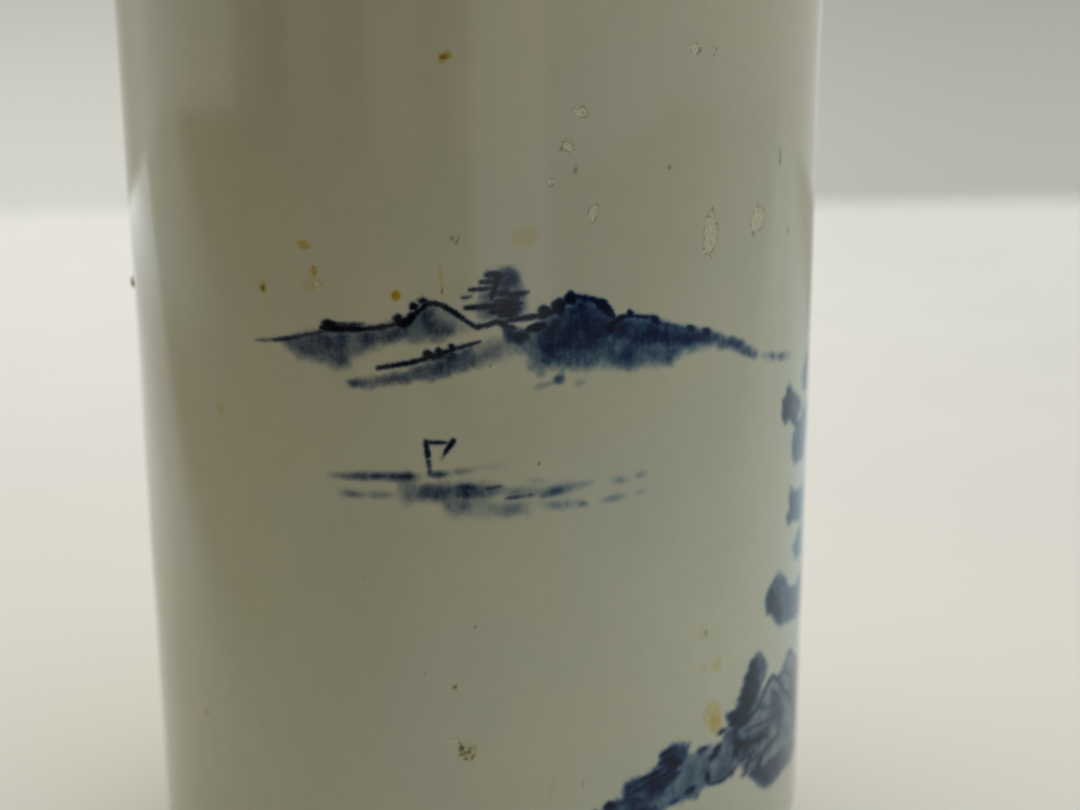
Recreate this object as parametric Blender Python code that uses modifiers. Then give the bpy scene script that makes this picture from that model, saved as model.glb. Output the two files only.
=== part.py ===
"""Porcelain brush pot: a straight cylinder that writing brushes stand in.

The pot is put together the way a potter lutes one: a thrown wall, a floor disc set inside it and a
turned foot ring below, then three coats of glaze over the fired clay. Every piece is a turned solid
about +Z. The origin is the centre of the foot's resting plane. Units are metres.
"""

import math

import bpy

# Driving dimensions of the finished, glazed pot
POT_RADIUS = 0.0450       # outside of the straight wall
POT_HEIGHT = 0.1300       # table to the top of the lip
MOUTH_FLARE = 0.0006      # how far the lip leans out past the straight wall
FLARE_LENGTH = 0.0300     # length of wall over which it leans out

# Clay
WALL = 0.0044             # thickness of the wall
FLOOR = 0.0055            # thickness of the floor
COVE = 0.0040             # radius inside, where the floor turns up to meet the wall
COVE_EDGE = 0.0005        # thickness of the floor's turned-up edge
FOOT_HEIGHT = 0.0050      # height of the foot ring, and so depth of the recess inside it
FOOT_INSET = 0.0022       # how far the foot ring stands in from the wall
FOOT_WIDTH = 0.0056       # width of the foot ring
FOOT_ROUND = 0.0008       # rounding of the foot ring's lower edges
RECESS_COVE = 0.0010      # radius in the recess, where the ring meets the floor
WALL_SLOPE = 0.0030       # height of the slope from the foot ring out to the wall

# Glaze
GLAZE = 0.0004            # thickness of a coat
BARE_FOOT = 0.0016        # height of foot wiped clean, so that it doesn't stick in the kiln
SEAM = 0.00005            # hairline between neighbouring pieces, which keeps each its own solid

# Fineness of the turned shapes
SEGMENTS = 64             # sides of a full turn
ARC_STEPS = 3             # straight pieces of a rounded corner
FLARE_STEPS = 3           # straight pieces of the leaning part of the wall
SHARP_ANGLE = math.radians(35)

# Sizes that follow from those
CLAY_RADIUS = POT_RADIUS - GLAZE - SEAM
WELL_RADIUS = CLAY_RADIUS - WALL
LIP_CENTRE = POT_HEIGHT - GLAZE - SEAM - WALL / 2
FLARE_START = POT_HEIGHT - FLARE_LENGTH
SLOPE_TOP = FOOT_HEIGHT + WALL_SLOPE
FOOT_OUTER = CLAY_RADIUS - FOOT_INSET
FOOT_INNER = FOOT_OUTER - FOOT_WIDTH
FLOOR_BOTTOM = FOOT_HEIGHT + SEAM
FLOOR_TOP = FOOT_HEIGHT + FLOOR
FLOOR_RADIUS = WELL_RADIUS - SEAM
COVE_TOP = FLOOR_TOP + COVE
COVE_CENTRE = FLOOR_RADIUS - COVE_EDGE - COVE

# Finishes
BISCUIT_COLOUR = (0.78, 0.73, 0.63)
BISCUIT_ROUGHNESS = 0.75
GLAZE_COLOUR = (0.70, 0.71, 0.64)
GLAZE_ROUGHNESS = 0.08


def material(name, colour, roughness):
    """A Principled material in one colour. Neither clay nor glaze is metallic."""
    made = bpy.data.materials.new(name)
    made.use_nodes = True
    shader = made.node_tree.nodes["Principled BSDF"]
    shader.inputs["Base Color"].default_value = (*colour, 1.0)
    shader.inputs["Roughness"].default_value = roughness
    shader.inputs["Metallic"].default_value = 0.0
    made.diffuse_color = (*colour, 1.0)
    return made


def arc(x, z, radius, start, end):
    """Points along an arc about (x, z), from start to end in degrees."""
    angles = [math.radians(start + (end - start) * i / ARC_STEPS) for i in range(ARC_STEPS + 1)]
    return [(x + radius * math.cos(angle), z + radius * math.sin(angle)) for angle in angles]


def wall_line(side):
    """The wall from the flare's start up to the lip, half its thickness out (side 1) or in (side -1)."""
    line = []
    for i in range(FLARE_STEPS + 1):
        rise = i / FLARE_STEPS
        x = CLAY_RADIUS - WALL / 2 + MOUTH_FLARE * rise**2 + side * WALL / 2
        line.append((x, FLARE_START + (LIP_CENTRE - FLARE_START) * rise))
    return line


def lip(start, end):
    """Part of the lip's half circle, from start to end in degrees. 0 is outside and 180 is inside."""
    return arc(wall_line(0)[-1][0], LIP_CENTRE, WALL / 2, start, end)


def recess_corner(start, end):
    """The rounded corner between the foot ring and the floor, from start to end in degrees."""
    return arc(FOOT_INNER - RECESS_COVE, FOOT_HEIGHT - RECESS_COVE, RECESS_COVE, start, end)


def offset(line, distance):
    """The line moved towards the right of its direction, with mitred corners."""
    sides = []
    for (x0, z0), (x1, z1) in zip(line, line[1:]):
        length = math.hypot(x1 - x0, z1 - z0)
        sides.append(((z1 - z0) / length, (x0 - x1) / length))
    befores = [sides[0]] + sides
    afters = sides + [sides[-1]]
    moved = []
    for (x, z), before, after in zip(line, befores, afters):
        nx = (before[0] + after[0]) / 2
        nz = (before[1] + after[1]) / 2
        reach = distance / (nx * nx + nz * nz)
        moved.append((x + reach * nx, z + reach * nz))
    return moved


def coat(line):
    """The closed profile of a coat of glaze on a line of the clay's surface."""
    return offset(line, SEAM) + offset(line, SEAM + GLAZE)[::-1]


def turned(name, profile, finish, collection):
    """A solid of revolution about +Z, from a closed profile or one that ends on the axis."""
    edges = []
    for start in range(len(profile)):
        end = (start + 1) % len(profile)
        on_axis = profile[start][0] == 0.0 and profile[end][0] == 0.0
        if not on_axis:
            edges.append((start, end))
    mesh = bpy.data.meshes.new(name)
    mesh.from_pydata([(x, 0.0, z) for x, z in profile], edges, [])
    piece = bpy.data.objects.new(name, mesh)
    collection.objects.link(piece)
    screw = piece.modifiers.new("turn", "SCREW")
    screw.steps = SEGMENTS
    screw.render_steps = SEGMENTS
    screw.use_merge_vertices = True
    screw.merge_threshold = 0.000001

    depsgraph = bpy.context.evaluated_depsgraph_get()
    solid = bpy.data.meshes.new_from_object(piece.evaluated_get(depsgraph))
    solid.materials.append(finish)
    solid.shade_smooth()
    solid.set_sharp_from_angle(angle=SHARP_ANGLE)
    piece.modifiers.clear()
    piece.data = solid
    bpy.data.meshes.remove(mesh)
    solid.name = name
    return piece


def wall_body(clay, pot):
    """The thrown wall: over the lip, down its outside, across its lower end and up its inside."""
    outside = wall_line(1)[-2::-1] + [(CLAY_RADIUS, SLOPE_TOP), (FOOT_OUTER, FLOOR_BOTTOM)]
    inside = [(WELL_RADIUS, FLOOR_BOTTOM)] + wall_line(-1)[:-1]
    turned("wall_body", lip(180, 0) + outside + inside, clay, pot)


def floor_disc(clay, pot):
    """The floor luted into the wall: a flat disc whose edge turns up in a cove."""
    cove = arc(COVE_CENTRE, COVE_TOP, COVE, -90, 0)
    edge = [(FLOOR_RADIUS, COVE_TOP), (FLOOR_RADIUS, FLOOR_BOTTOM)]
    turned("floor_disc", [(0.0, FLOOR_TOP)] + cove + edge + [(0.0, FLOOR_BOTTOM)], clay, pot)


def foot_ring(clay, pot):
    """The turned ring that the pot rests on, with a flat underside."""
    outer_edge = arc(FOOT_OUTER - FOOT_ROUND, FOOT_ROUND, FOOT_ROUND, 0, -90)
    inner_edge = arc(FOOT_INNER + FOOT_ROUND, FOOT_ROUND, FOOT_ROUND, -90, -180)
    top = recess_corner(0, 90) + [(FOOT_OUTER, FOOT_HEIGHT)]
    turned("foot_ring", outer_edge + inner_edge + top, clay, pot)


def outer_glaze(glaze, pot):
    """The outer coat: up from just above the foot's bare edge to the middle of the lip."""
    foot = [(FOOT_OUTER, BARE_FOOT), (FOOT_OUTER, FLOOR_BOTTOM), (CLAY_RADIUS, SLOPE_TOP)]
    turned("outer_glaze", coat(foot + wall_line(1) + lip(0, 90)[1:]), glaze, pot)


def inner_glaze(glaze, pot):
    """The inner coat: from the middle of the lip down the wall, round the cove and over the floor."""
    wall = wall_line(-1)[-2::-1] + [(WELL_RADIUS, COVE_TOP + COVE / 2)]
    cove = arc(COVE_CENTRE, COVE_TOP, COVE, 0, -90)
    turned("inner_glaze", coat(lip(90, 180) + wall + cove + [(0.0, FLOOR_TOP)]), glaze, pot)


def base_glaze(glaze, pot):
    """The coat in the recess: from the centre out to the ring and down its inner face."""
    line = [(0.0, FOOT_HEIGHT)] + recess_corner(90, 0) + [(FOOT_INNER, BARE_FOOT)]
    turned("base_glaze", coat(line), glaze, pot)


def main():
    for leftover in list(bpy.data.objects):
        bpy.data.objects.remove(leftover)
    pot = bpy.data.collections.new("brush_pot")
    bpy.context.scene.collection.children.link(pot)
    clay = material("biscuit", BISCUIT_COLOUR, BISCUIT_ROUGHNESS)
    glaze = material("glaze", GLAZE_COLOUR, GLAZE_ROUGHNESS)
    for build_piece in (wall_body, floor_disc, foot_ring):
        build_piece(clay, pot)
    for build_piece in (outer_glaze, inner_glaze, base_glaze):
        build_piece(glaze, pot)


main()
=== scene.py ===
"""Looks of the porcelain brush pot: its glaze, its underglaze blue landscape and its flaws.

The painting is drawn on the unrolled wall. There, s is the arc length in mm from the middle of the
painted side, to the right as seen from outside, and z is the height in mm above the table.
"""

import math

import bmesh
import bpy
import numpy as np
from mathutils import Euler, Matrix, Vector


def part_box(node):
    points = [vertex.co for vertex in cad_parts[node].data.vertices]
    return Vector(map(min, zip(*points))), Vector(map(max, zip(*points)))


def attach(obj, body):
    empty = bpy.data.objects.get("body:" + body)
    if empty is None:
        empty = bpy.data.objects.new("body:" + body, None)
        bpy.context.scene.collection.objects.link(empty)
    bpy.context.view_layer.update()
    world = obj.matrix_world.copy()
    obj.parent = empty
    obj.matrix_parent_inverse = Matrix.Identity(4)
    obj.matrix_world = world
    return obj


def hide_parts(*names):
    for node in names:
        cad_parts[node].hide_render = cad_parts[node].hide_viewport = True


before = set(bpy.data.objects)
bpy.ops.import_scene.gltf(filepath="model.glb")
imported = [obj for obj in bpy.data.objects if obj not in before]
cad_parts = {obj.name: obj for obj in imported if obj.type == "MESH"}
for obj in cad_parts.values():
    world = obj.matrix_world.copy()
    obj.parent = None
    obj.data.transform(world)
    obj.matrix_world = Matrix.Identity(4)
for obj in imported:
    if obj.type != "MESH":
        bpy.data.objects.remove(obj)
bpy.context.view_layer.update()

MM = 0.001

# Lowest and highest corners of the CAD model's pieces, in mm
COAT_LOW, COAT_HIGH = (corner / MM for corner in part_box("outer_glaze"))
LINING_LOW, LINING_HIGH = (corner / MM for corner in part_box("inner_glaze"))
BASE_LOW, BASE_HIGH = (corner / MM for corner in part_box("base_glaze"))
RING_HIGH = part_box("foot_ring")[1] / MM

# Shape of the glazed pot, in mm and degrees
FLARE = 0.6             # how far the lip leans out past the straight wall
FLARE_LENGTH = 30.0     # length of wall over which it leans out
GLAZE = 0.4             # thickness of a coat
SEAM = 0.05             # hairline between neighbouring pieces
WALL_SLOPE = 3.0        # height of the slope from the foot ring out to the wall
WELL_COVE = 4.0         # radius where the well's floor turns up to meet its wall
SHARP_ANGLE = 40.0
TOP = COAT_HIGH.z
RADIUS = COAT_HIGH.x - FLARE
HALF_TURN = math.pi * RADIUS
FLARE_START = TOP - FLARE_LENGTH
LIP_RADIUS = (COAT_HIGH.x - LINING_HIGH.x) + SEAM
LIP_CENTRE = COAT_HIGH.x - LIP_RADIUS
FOOT_RADIUS = RING_HIGH.x + SEAM + GLAZE
FOOT_TOP = RING_HIGH.z
WELL_FLOOR = LINING_LOW.z + GLAZE

# Camera, looking down a little on the painted side; lengths in mm, angles in degrees
LENS = 52.0
APERTURE = 16.0
CAMERA_AWAY = 210.4
CAMERA_HEIGHT = 112.0
CAMERA_YAW = 2.35
CAMERA_PITCH = 13.3
CAMERA_ROLL = -0.4
FOCUS_CENTRE = 73.0

# How strongly each pigment takes away red, green and blue light
INKY_WASH = (1.00, 0.83, 0.53)
BLUE_WASH = (1.00, 0.71, 0.39)
SHORE_WASH = (1.00, 0.80, 0.48)
INKY_LINE = (1.00, 0.88, 0.66)
BLUE_LINE = (1.00, 0.78, 0.42)
IRON = (0.18, 0.52, 2.00)

GLAZE_TINT = (0.460, 0.450, 0.338)
RIM_TINT = (0.46, 0.38, 0.26)
CLAY_TINT = (0.60, 0.50, 0.38)
GLAZE_SHINE = 0.33


# ---------------------------------------------------------------- painting


def smooth_step(x):
    x = np.clip(x, 0.0, 1.0)
    return x * x * (3.0 - 2.0 * x)


def flowing(points):
    """Points along a smooth curve through the given points (a Catmull-Rom curve)."""
    steps = 6
    p = np.array(points, float)
    if len(p) == 2:
        return p[0] + (p[1] - p[0]) * np.linspace(0.0, 1.0, steps + 1)[:, None]
    ends = np.vstack([2 * p[0] - p[1], p, 2 * p[-1] - p[-2]])
    t = np.arange(steps)[:, None] / steps
    out = []
    for a, b, c, d in zip(ends, ends[1:], ends[2:], ends[3:]):
        out.append(0.5 * (2 * b + (c - a) * t + (2 * a - 5 * b + 4 * c - d) * t**2
                          + (3 * b - a - 3 * c + d) * t**3))
    return np.vstack(out + [p[-1:]])


class Painting:
    """Pigment on the wall, as fields over a grid of s and z. All lengths are in mm."""

    RAMP = 0.72     # width over which a stroke's edge fades

    def __init__(self, s, z):
        self.s = s
        self.z = z
        self.rng = np.random.default_rng(7)
        self.stroke = np.zeros((len(z), len(s)))
        self.load = np.zeros_like(self.stroke)
        self.wash = np.zeros_like(self.stroke)
        self.iron = np.zeros_like(self.stroke)
        self.flake = np.zeros_like(self.stroke)
        self.relief = np.zeros_like(self.stroke)

    def window(self, s, z, margin):
        """The part of the grid around some points: its index, and its s and z."""
        columns = slice(*np.searchsorted(self.s, (np.min(s) - margin, np.max(s) + margin)))
        rows = slice(*np.searchsorted(self.z, (np.min(z) - margin, np.max(z) + margin)))
        return (rows, columns), self.s[None, columns], self.z[rows, None]

    def put(self, index, distance, load):
        """Adds a stroke whose edge is where the distance is 0."""
        cover = np.clip(0.5 - distance / self.RAMP, 0.0, 1.0)
        stronger = cover * load > self.stroke[index] * self.load[index]
        self.load[index] = np.where(stronger, load, self.load[index])
        self.stroke[index] = np.maximum(self.stroke[index], cover)

    def distance(self, path, radii, s, z):
        """Distance from the edge of a line whose half width varies along it."""
        nearest = np.full(np.broadcast_shapes(s.shape, z.shape), 1e9)
        for (s0, z0), (s1, z1), r0, r1 in zip(path, path[1:], radii, radii[1:]):
            ds, dz = s1 - s0, z1 - z0
            t = np.clip(((s - s0) * ds + (z - z0) * dz) / (ds * ds + dz * dz + 1e-9), 0.0, 1.0)
            gap = np.hypot(s - s0 - t * ds, z - z0 - t * dz) - (r0 + (r1 - r0) * t)
            nearest = np.minimum(nearest, gap)
        return nearest

    def line(self, points, width, load=1.0, ends=(0.55, 0.35)):
        """A brush line, full in the middle and thinner towards its two ends."""
        path = flowing(points)
        t = np.linspace(0.0, 1.0, len(path))
        shape = np.interp(t, (0.0, 0.3, 0.7, 1.0), (ends[0], 1.0, 1.0, ends[1]))
        shaky = 1.0 + 0.16 * self.rng.standard_normal(len(path))
        radii = 0.5 * width * shape * np.clip(shaky, 0.7, 1.3)
        index, s, z = self.window(path[:, 0], path[:, 1], width + self.RAMP)
        self.put(index, self.distance(path, radii, s, z), load)

    def ellipse(self, at, size, lean, margin):
        """The grid round a leaning ellipse: its index, and u and v, which reach 1 at its edge."""
        index, s, z = self.window([at[0]], [at[1]], margin)
        turn = math.radians(lean)
        u = (s - at[0]) * math.cos(turn) + (z - at[1]) * math.sin(turn)
        v = (z - at[1]) * math.cos(turn) - (s - at[0]) * math.sin(turn)
        return index, u / (size[0] / 2), v / (size[1] / 2)

    def dab(self, at, size, lean=0.0, load=1.0):
        """A pressed dot of the given width and height."""
        index, u, v = self.ellipse(at, size, lean, max(size) + self.RAMP)
        angle = np.arctan2(v, u)
        lumps = 1.0 + 0.07 * np.sin(3 * angle + self.rng.uniform(0, 6)) + 0.04 * np.sin(5 * angle)
        self.put(index, (np.hypot(u, v) / lumps - 1.0) * min(size) / 2, load)

    def blot(self, at, size, density, lean=0.0, edge=0.5):
        """A soft pool of wash."""
        index, u, v = self.ellipse(at, size, lean, max(size))
        self.wash[index] += density * smooth_step((1.0 + edge - np.hypot(u, v)) / (2 * edge))

    def band(self, points, width, density, ends, edge):
        """A soft band of wash along a curve, with densities at its ends relative to its middle."""
        path = flowing(points)
        radii = np.full(len(path), width / 2)
        index, s, z = self.window(path[:, 0], path[:, 1], width)
        gap = self.distance(path, radii, s, z)
        along = np.clip((s - path[0, 0]) / (path[-1, 0] - path[0, 0] + 1e-9), 0.0, 1.0)
        fade = np.interp(along, (0.0, 0.35, 0.65, 1.0), (ends[0], 1.0, 1.0, ends[1]))
        self.wash[index] += density * fade * smooth_step(0.5 - gap / (2 * edge))

    def slope(self, ridge, base, density, top=1.0, bottom=1.0, ragged=0.35, edge=0.35):
        """Wash between a ridge and a base line, both given from left to right."""
        ridge = np.array(ridge, float)
        base = np.array(base, float)
        both = np.vstack([ridge, base])
        index, s, z = self.window(both[:, 0], both[:, 1], 1.5)
        upper = np.interp(s, ridge[:, 0], ridge[:, 1])
        phases = self.rng.uniform(0, 6, 4)
        wander = sum(np.sin(s * k + phase) / k for k, phase in zip((1.1, 2.3, 3.7, 6.1), phases))
        lower = np.interp(s, base[:, 0], base[:, 1]) + ragged * wander
        depth = np.clip((upper - z) / np.maximum(upper - lower, 0.2), 0.0, 1.0)
        inside = smooth_step((upper - z) / 0.3 + 0.5) * smooth_step((z - lower) / (2 * edge) + 0.5)
        left, right = max(ridge[0, 0], base[0, 0]), min(ridge[-1, 0], base[-1, 0])
        inside *= smooth_step((s - left) / (2 * edge) + 0.5) * smooth_step((right - s) / (2 * edge) + 0.5)
        self.wash[index] += density * (top + (bottom - top) * depth) * inside

    def area(self, outline, density, ragged=0.14, edge=0.55):
        """Wash filling a closed outline, with a soft edge that wanders."""
        path = np.array(list(outline) + [outline[0]], float)
        index, s, z = self.window(path[:, 0], path[:, 1], 0.8 + edge)
        gap = self.distance(path, np.zeros(len(path)), s, z)
        inside = np.zeros(gap.shape, bool)
        for (s0, z0), (s1, z1) in zip(path, path[1:]):
            inside ^= ((z0 > z) != (z1 > z)) & (s < s0 + (z - z0) * (s1 - s0) / (z1 - z0 + 1e-9))
        a, b, c, d = self.rng.uniform(0, 6, 4)
        wander = np.sin(2.3 * s + a) * np.sin(2.7 * z + b) + 0.6 * np.sin(5.3 * s + c) * np.sin(4.1 * z + d)
        depth = np.where(inside, gap, -gap) + ragged * wander
        self.wash[index] += density * smooth_step(0.5 + depth / (2 * edge))

    def fleck(self, at, size, density, lean=0.0):
        """A dark grey-brown speck."""
        self.rust(at, size, 0.5 * density, lean)
        self.blot(at, size, 1.1 * density, lean, edge=0.4)

    def rust(self, at, size, density, lean):
        """An iron spot under the glaze."""
        index, u, v = self.ellipse(at, size, lean, max(size))
        self.iron[index] += density * smooth_step((1.25 - np.hypot(u, v)) / 0.6)

    def scab(self, at, size, strength, lean=0.0):
        """A sunken patch where the glaze has crawled. Its flake is 1 at its centre and 0.5 at its edge."""
        index, u, v = self.ellipse(at, size, lean, 1.6 * max(size) + 0.5)
        angle = np.arctan2(v, u)
        lumps = 1.0
        for height, sides, phase in zip((0.16, 0.10, 0.08), (2, 3, 5), self.rng.uniform(0, 6, 3)):
            lumps = lumps + height * np.sin(sides * angle + phase)
        span = np.hypot(u, v) / lumps
        self.flake[index] = np.maximum(self.flake[index], np.clip(1.0 - 0.5 * span, 0.0, 1.0))
        self.iron[index] += 0.08 * strength * smooth_step(1.4 - span)
        self.relief[index] -= 0.04 * strength * smooth_step(1.5 - span)


def left_hill(paint):
    """A long low hill that rises to a peak, with a bank of land in front of it."""
    paint.line([(-26.2, 79.1), (-22.6, 79.5)], 0.32, 0.45, ends=(0.3, 1))
    paint.line([(-23.4, 79.4), (-20.8, 79.8)], 0.42, 0.75)
    paint.line([(-21.2, 79.8), (-17.2, 80.75)], 0.34, 0.55, ends=(0.8, 0.9))
    paint.dab((-16.4, 81.55), (1.7, 1.1), load=0.9)
    paint.line([(-17.4, 81.15), (-12.8, 81.25)], 0.78, 0.95, ends=(0.6, 0.7))
    paint.line([(-15.8, 81.75), (-14.2, 81.65), (-12.3, 81.85)], 0.42, 0.6)
    paint.line([(-13.2, 81.2), (-10.8, 81.45), (-8.4, 81.95)], 0.40, 0.9)
    paint.line([(-8.4, 82), (-7.5, 82.2), (-6.9, 82.8)], 0.85, ends=(0.7, 0.8))
    paint.line([(-7, 82.8), (-5.2, 84.1)], 0.50, 0.9)
    paint.line([(-5.6, 84.05), (-4.6, 84.2), (-3.5, 83.9), (-2.3, 83.15), (-1.1, 82.3), (0, 81.55)], 0.46,
               0.9, ends=(0.9, 0.6))
    for at, size in (((-8.5, 82.5), (1, 0.9)), ((-6.7, 83.85), (0.9, 0.75)), ((-5.7, 84.5), (0.9, 0.5))):
        paint.dab(at, size, load=0.95)
    ridge = [(-22.3, 79.4), (-19.4, 80.2), (-17, 80.8), (-12.8, 81.1), (-8.9, 81.8), (-7, 82.6), (-5.4, 83.7)]
    paint.area(ridge + [(-4.7, 83.6), (-5, 82.5), (-4.2, 82), (-2.9, 81.7), (-2.8, 80.9), (-4, 80.3),
                        (-6, 80.2), (-8.4, 80.3), (-10.6, 79.6), (-12.8, 78.7), (-13.9, 78), (-14.4, 77.1),
                        (-15.6, 76.9), (-17, 77.4), (-19.4, 77.8), (-21.2, 78.4)], 1.45, edge=0.9)
    paint.blot((-4.8, 82.6), (2.6, 2.2), 0.6, edge=0.9)
    paint.blot((-9.6, 80.6), (5, 1.6), 0.5, lean=10)
    paint.area([(-22, 79.4), (-17, 80.6), (-14, 80.7), (-14.6, 79), (-18, 78.4), (-20.6, 78.4)], 0.45)
    paint.area([(-5.4, 83.8), (-4, 83.8), (-2, 82.7), (-0.4, 81.4), (-2.6, 80.7), (-5.4, 81.8)], 0.5,
               edge=0.7)
    for s in (-20.4, -17):
        paint.blot((s, 78.8), (0.9, 2.4), 0.35, edge=0.9)

    # the bank
    paint.line([(-10.9, 77), (-9.2, 77.3), (-7.4, 77.65), (-5.6, 78.1)], 0.44, 0.9, ends=(0.9, 0.9))
    paint.line([(-5.8, 78.1), (-2.6, 79.15)], 0.50, 0.9, ends=(0.9, 0.8))
    paint.line([(-2.8, 79.1), (0.4, 80)], 0.36, 0.75)
    for at, size in (((-5.3, 78.6), 1.05), ((-4.1, 79), 0.75), ((-2.7, 79.45), 0.65)):
        paint.dab(at, (size, size * 0.85), load=0.95)
    paint.line([(-4.8, 78.1), (-2.2, 78.6)], 0.6, 0.45)
    paint.area([(-14.3, 75.3), (-12.4, 75.7), (-10, 76.1), (-8, 76.6), (-6.2, 77.3), (-4.6, 77.9), (-3, 78.5),
                (-1.6, 78.9), (-0.6, 79.2), (-0.4, 77.5), (-1.6, 76.9), (-3, 76.3), (-4.2, 75.9), (-6, 75.8),
                (-8, 75.5), (-10, 75.2), (-12, 74.8), (-13.8, 74.8)], 1.5, edge=0.55)
    paint.area([(-1.2, 79), (1, 79.9), (3.2, 80.4), (4.4, 79), (2.6, 78), (0.6, 77.6), (-1.2, 77.1)], 0.85,
               edge=0.8)
    for s, z in ((-13.6, 75.2), (-9.6, 75.7), (-4.4, 77), (-2.8, 77.9), (0.4, 78.4)):
        paint.blot((s, z), (1.8, 0.9), 0.3, lean=12, edge=0.9)


def pine(paint):
    """A pine drawn with flat strokes, standing on the line of a roof."""
    paint.line([(2.3, 87.3), (2.15, 86.3), (1.85, 85.3), (1.6, 84.6)], 0.52, 0.95)
    paint.dab((2.3, 87), (0.85, 0.9))
    for start, end, width, load in (
        ((1.2, 87.25), (2.5, 87.4), 0.44, 0.9),
        ((0.6, 86.45), (1.9, 86.6), 0.38, 0.9),
        ((-0.6, 85.65), (1.7, 85.85), 0.36, 0.95),
        ((-1.5, 84.8), (-0.5, 84.95), 0.32, 0.45),
        ((0.4, 84.9), (1.4, 85), 0.28, 0.3),
        ((2.4, 85.2), (3.5, 85.45), 0.55, 0.7),
        ((3.4, 85), (5.6, 85.25), 0.46, 0.9),
        ((-1.1, 83.7), (4.9, 84.1), 0.44, 0.95),
        ((2, 84.35), (4.6, 84.5), 0.40, 0.6),
        ((1.5, 83.2), (4.7, 83.5), 0.44, 0.9),
        ((2.6, 82.8), (4.4, 82.95), 0.40, 0.7),
    ):
        middle = ((start[0] + end[0]) / 2, (start[1] + end[1]) / 2 - 0.04)
        paint.line([start, middle, end], width, load, ends=(0.8, 0.35))
    paint.dab((3.5, 84.1), (1.5, 0.7), load=0.75)
    paint.line([(3.4, 84.4), (3.1, 83)], 0.6, 0.6)
    paint.area([(1.2, 87.5), (3.6, 87.8), (4.2, 87.3), (4.7, 86.2), (5.2, 85.4), (5.4, 84.5), (4.9, 83.5),
                (4.6, 82.5), (2.4, 82.4), (0.2, 82.6), (0, 83.5), (0.6, 84.8), (1, 86)], 1.05, edge=0.6)
    paint.blot((3.4, 86.9), (2.4, 2), 1.7)
    paint.blot((3.6, 83.6), (3.2, 2.4), 1.1)
    # roof
    paint.line([(0, 81.6), (1.2, 81.8), (2.2, 82.1), (3.1, 81.8), (4.2, 81.35)], 0.46, 0.9, ends=(0.9, 0.5))
    paint.line([(3.2, 82.2), (7.2, 82.7)], 0.46, 0.9, ends=(0.6, 1))
    paint.area([(2.8, 81.7), (4.2, 81.3), (5.4, 81.2), (5.6, 80.4), (4.8, 79.8), (3.3, 80.1)], 2.7)
    paint.area([(3.4, 80.2), (5.8, 80.8), (7.8, 81), (7.9, 77.4), (7, 76.4), (5.9, 77.2), (5.4, 78.6)], 1.6,
               edge=0.9)
    paint.area([(6.4, 81), (8.2, 81.6), (8.4, 78.2), (7, 78.6)], 1.2, edge=0.6)


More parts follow.
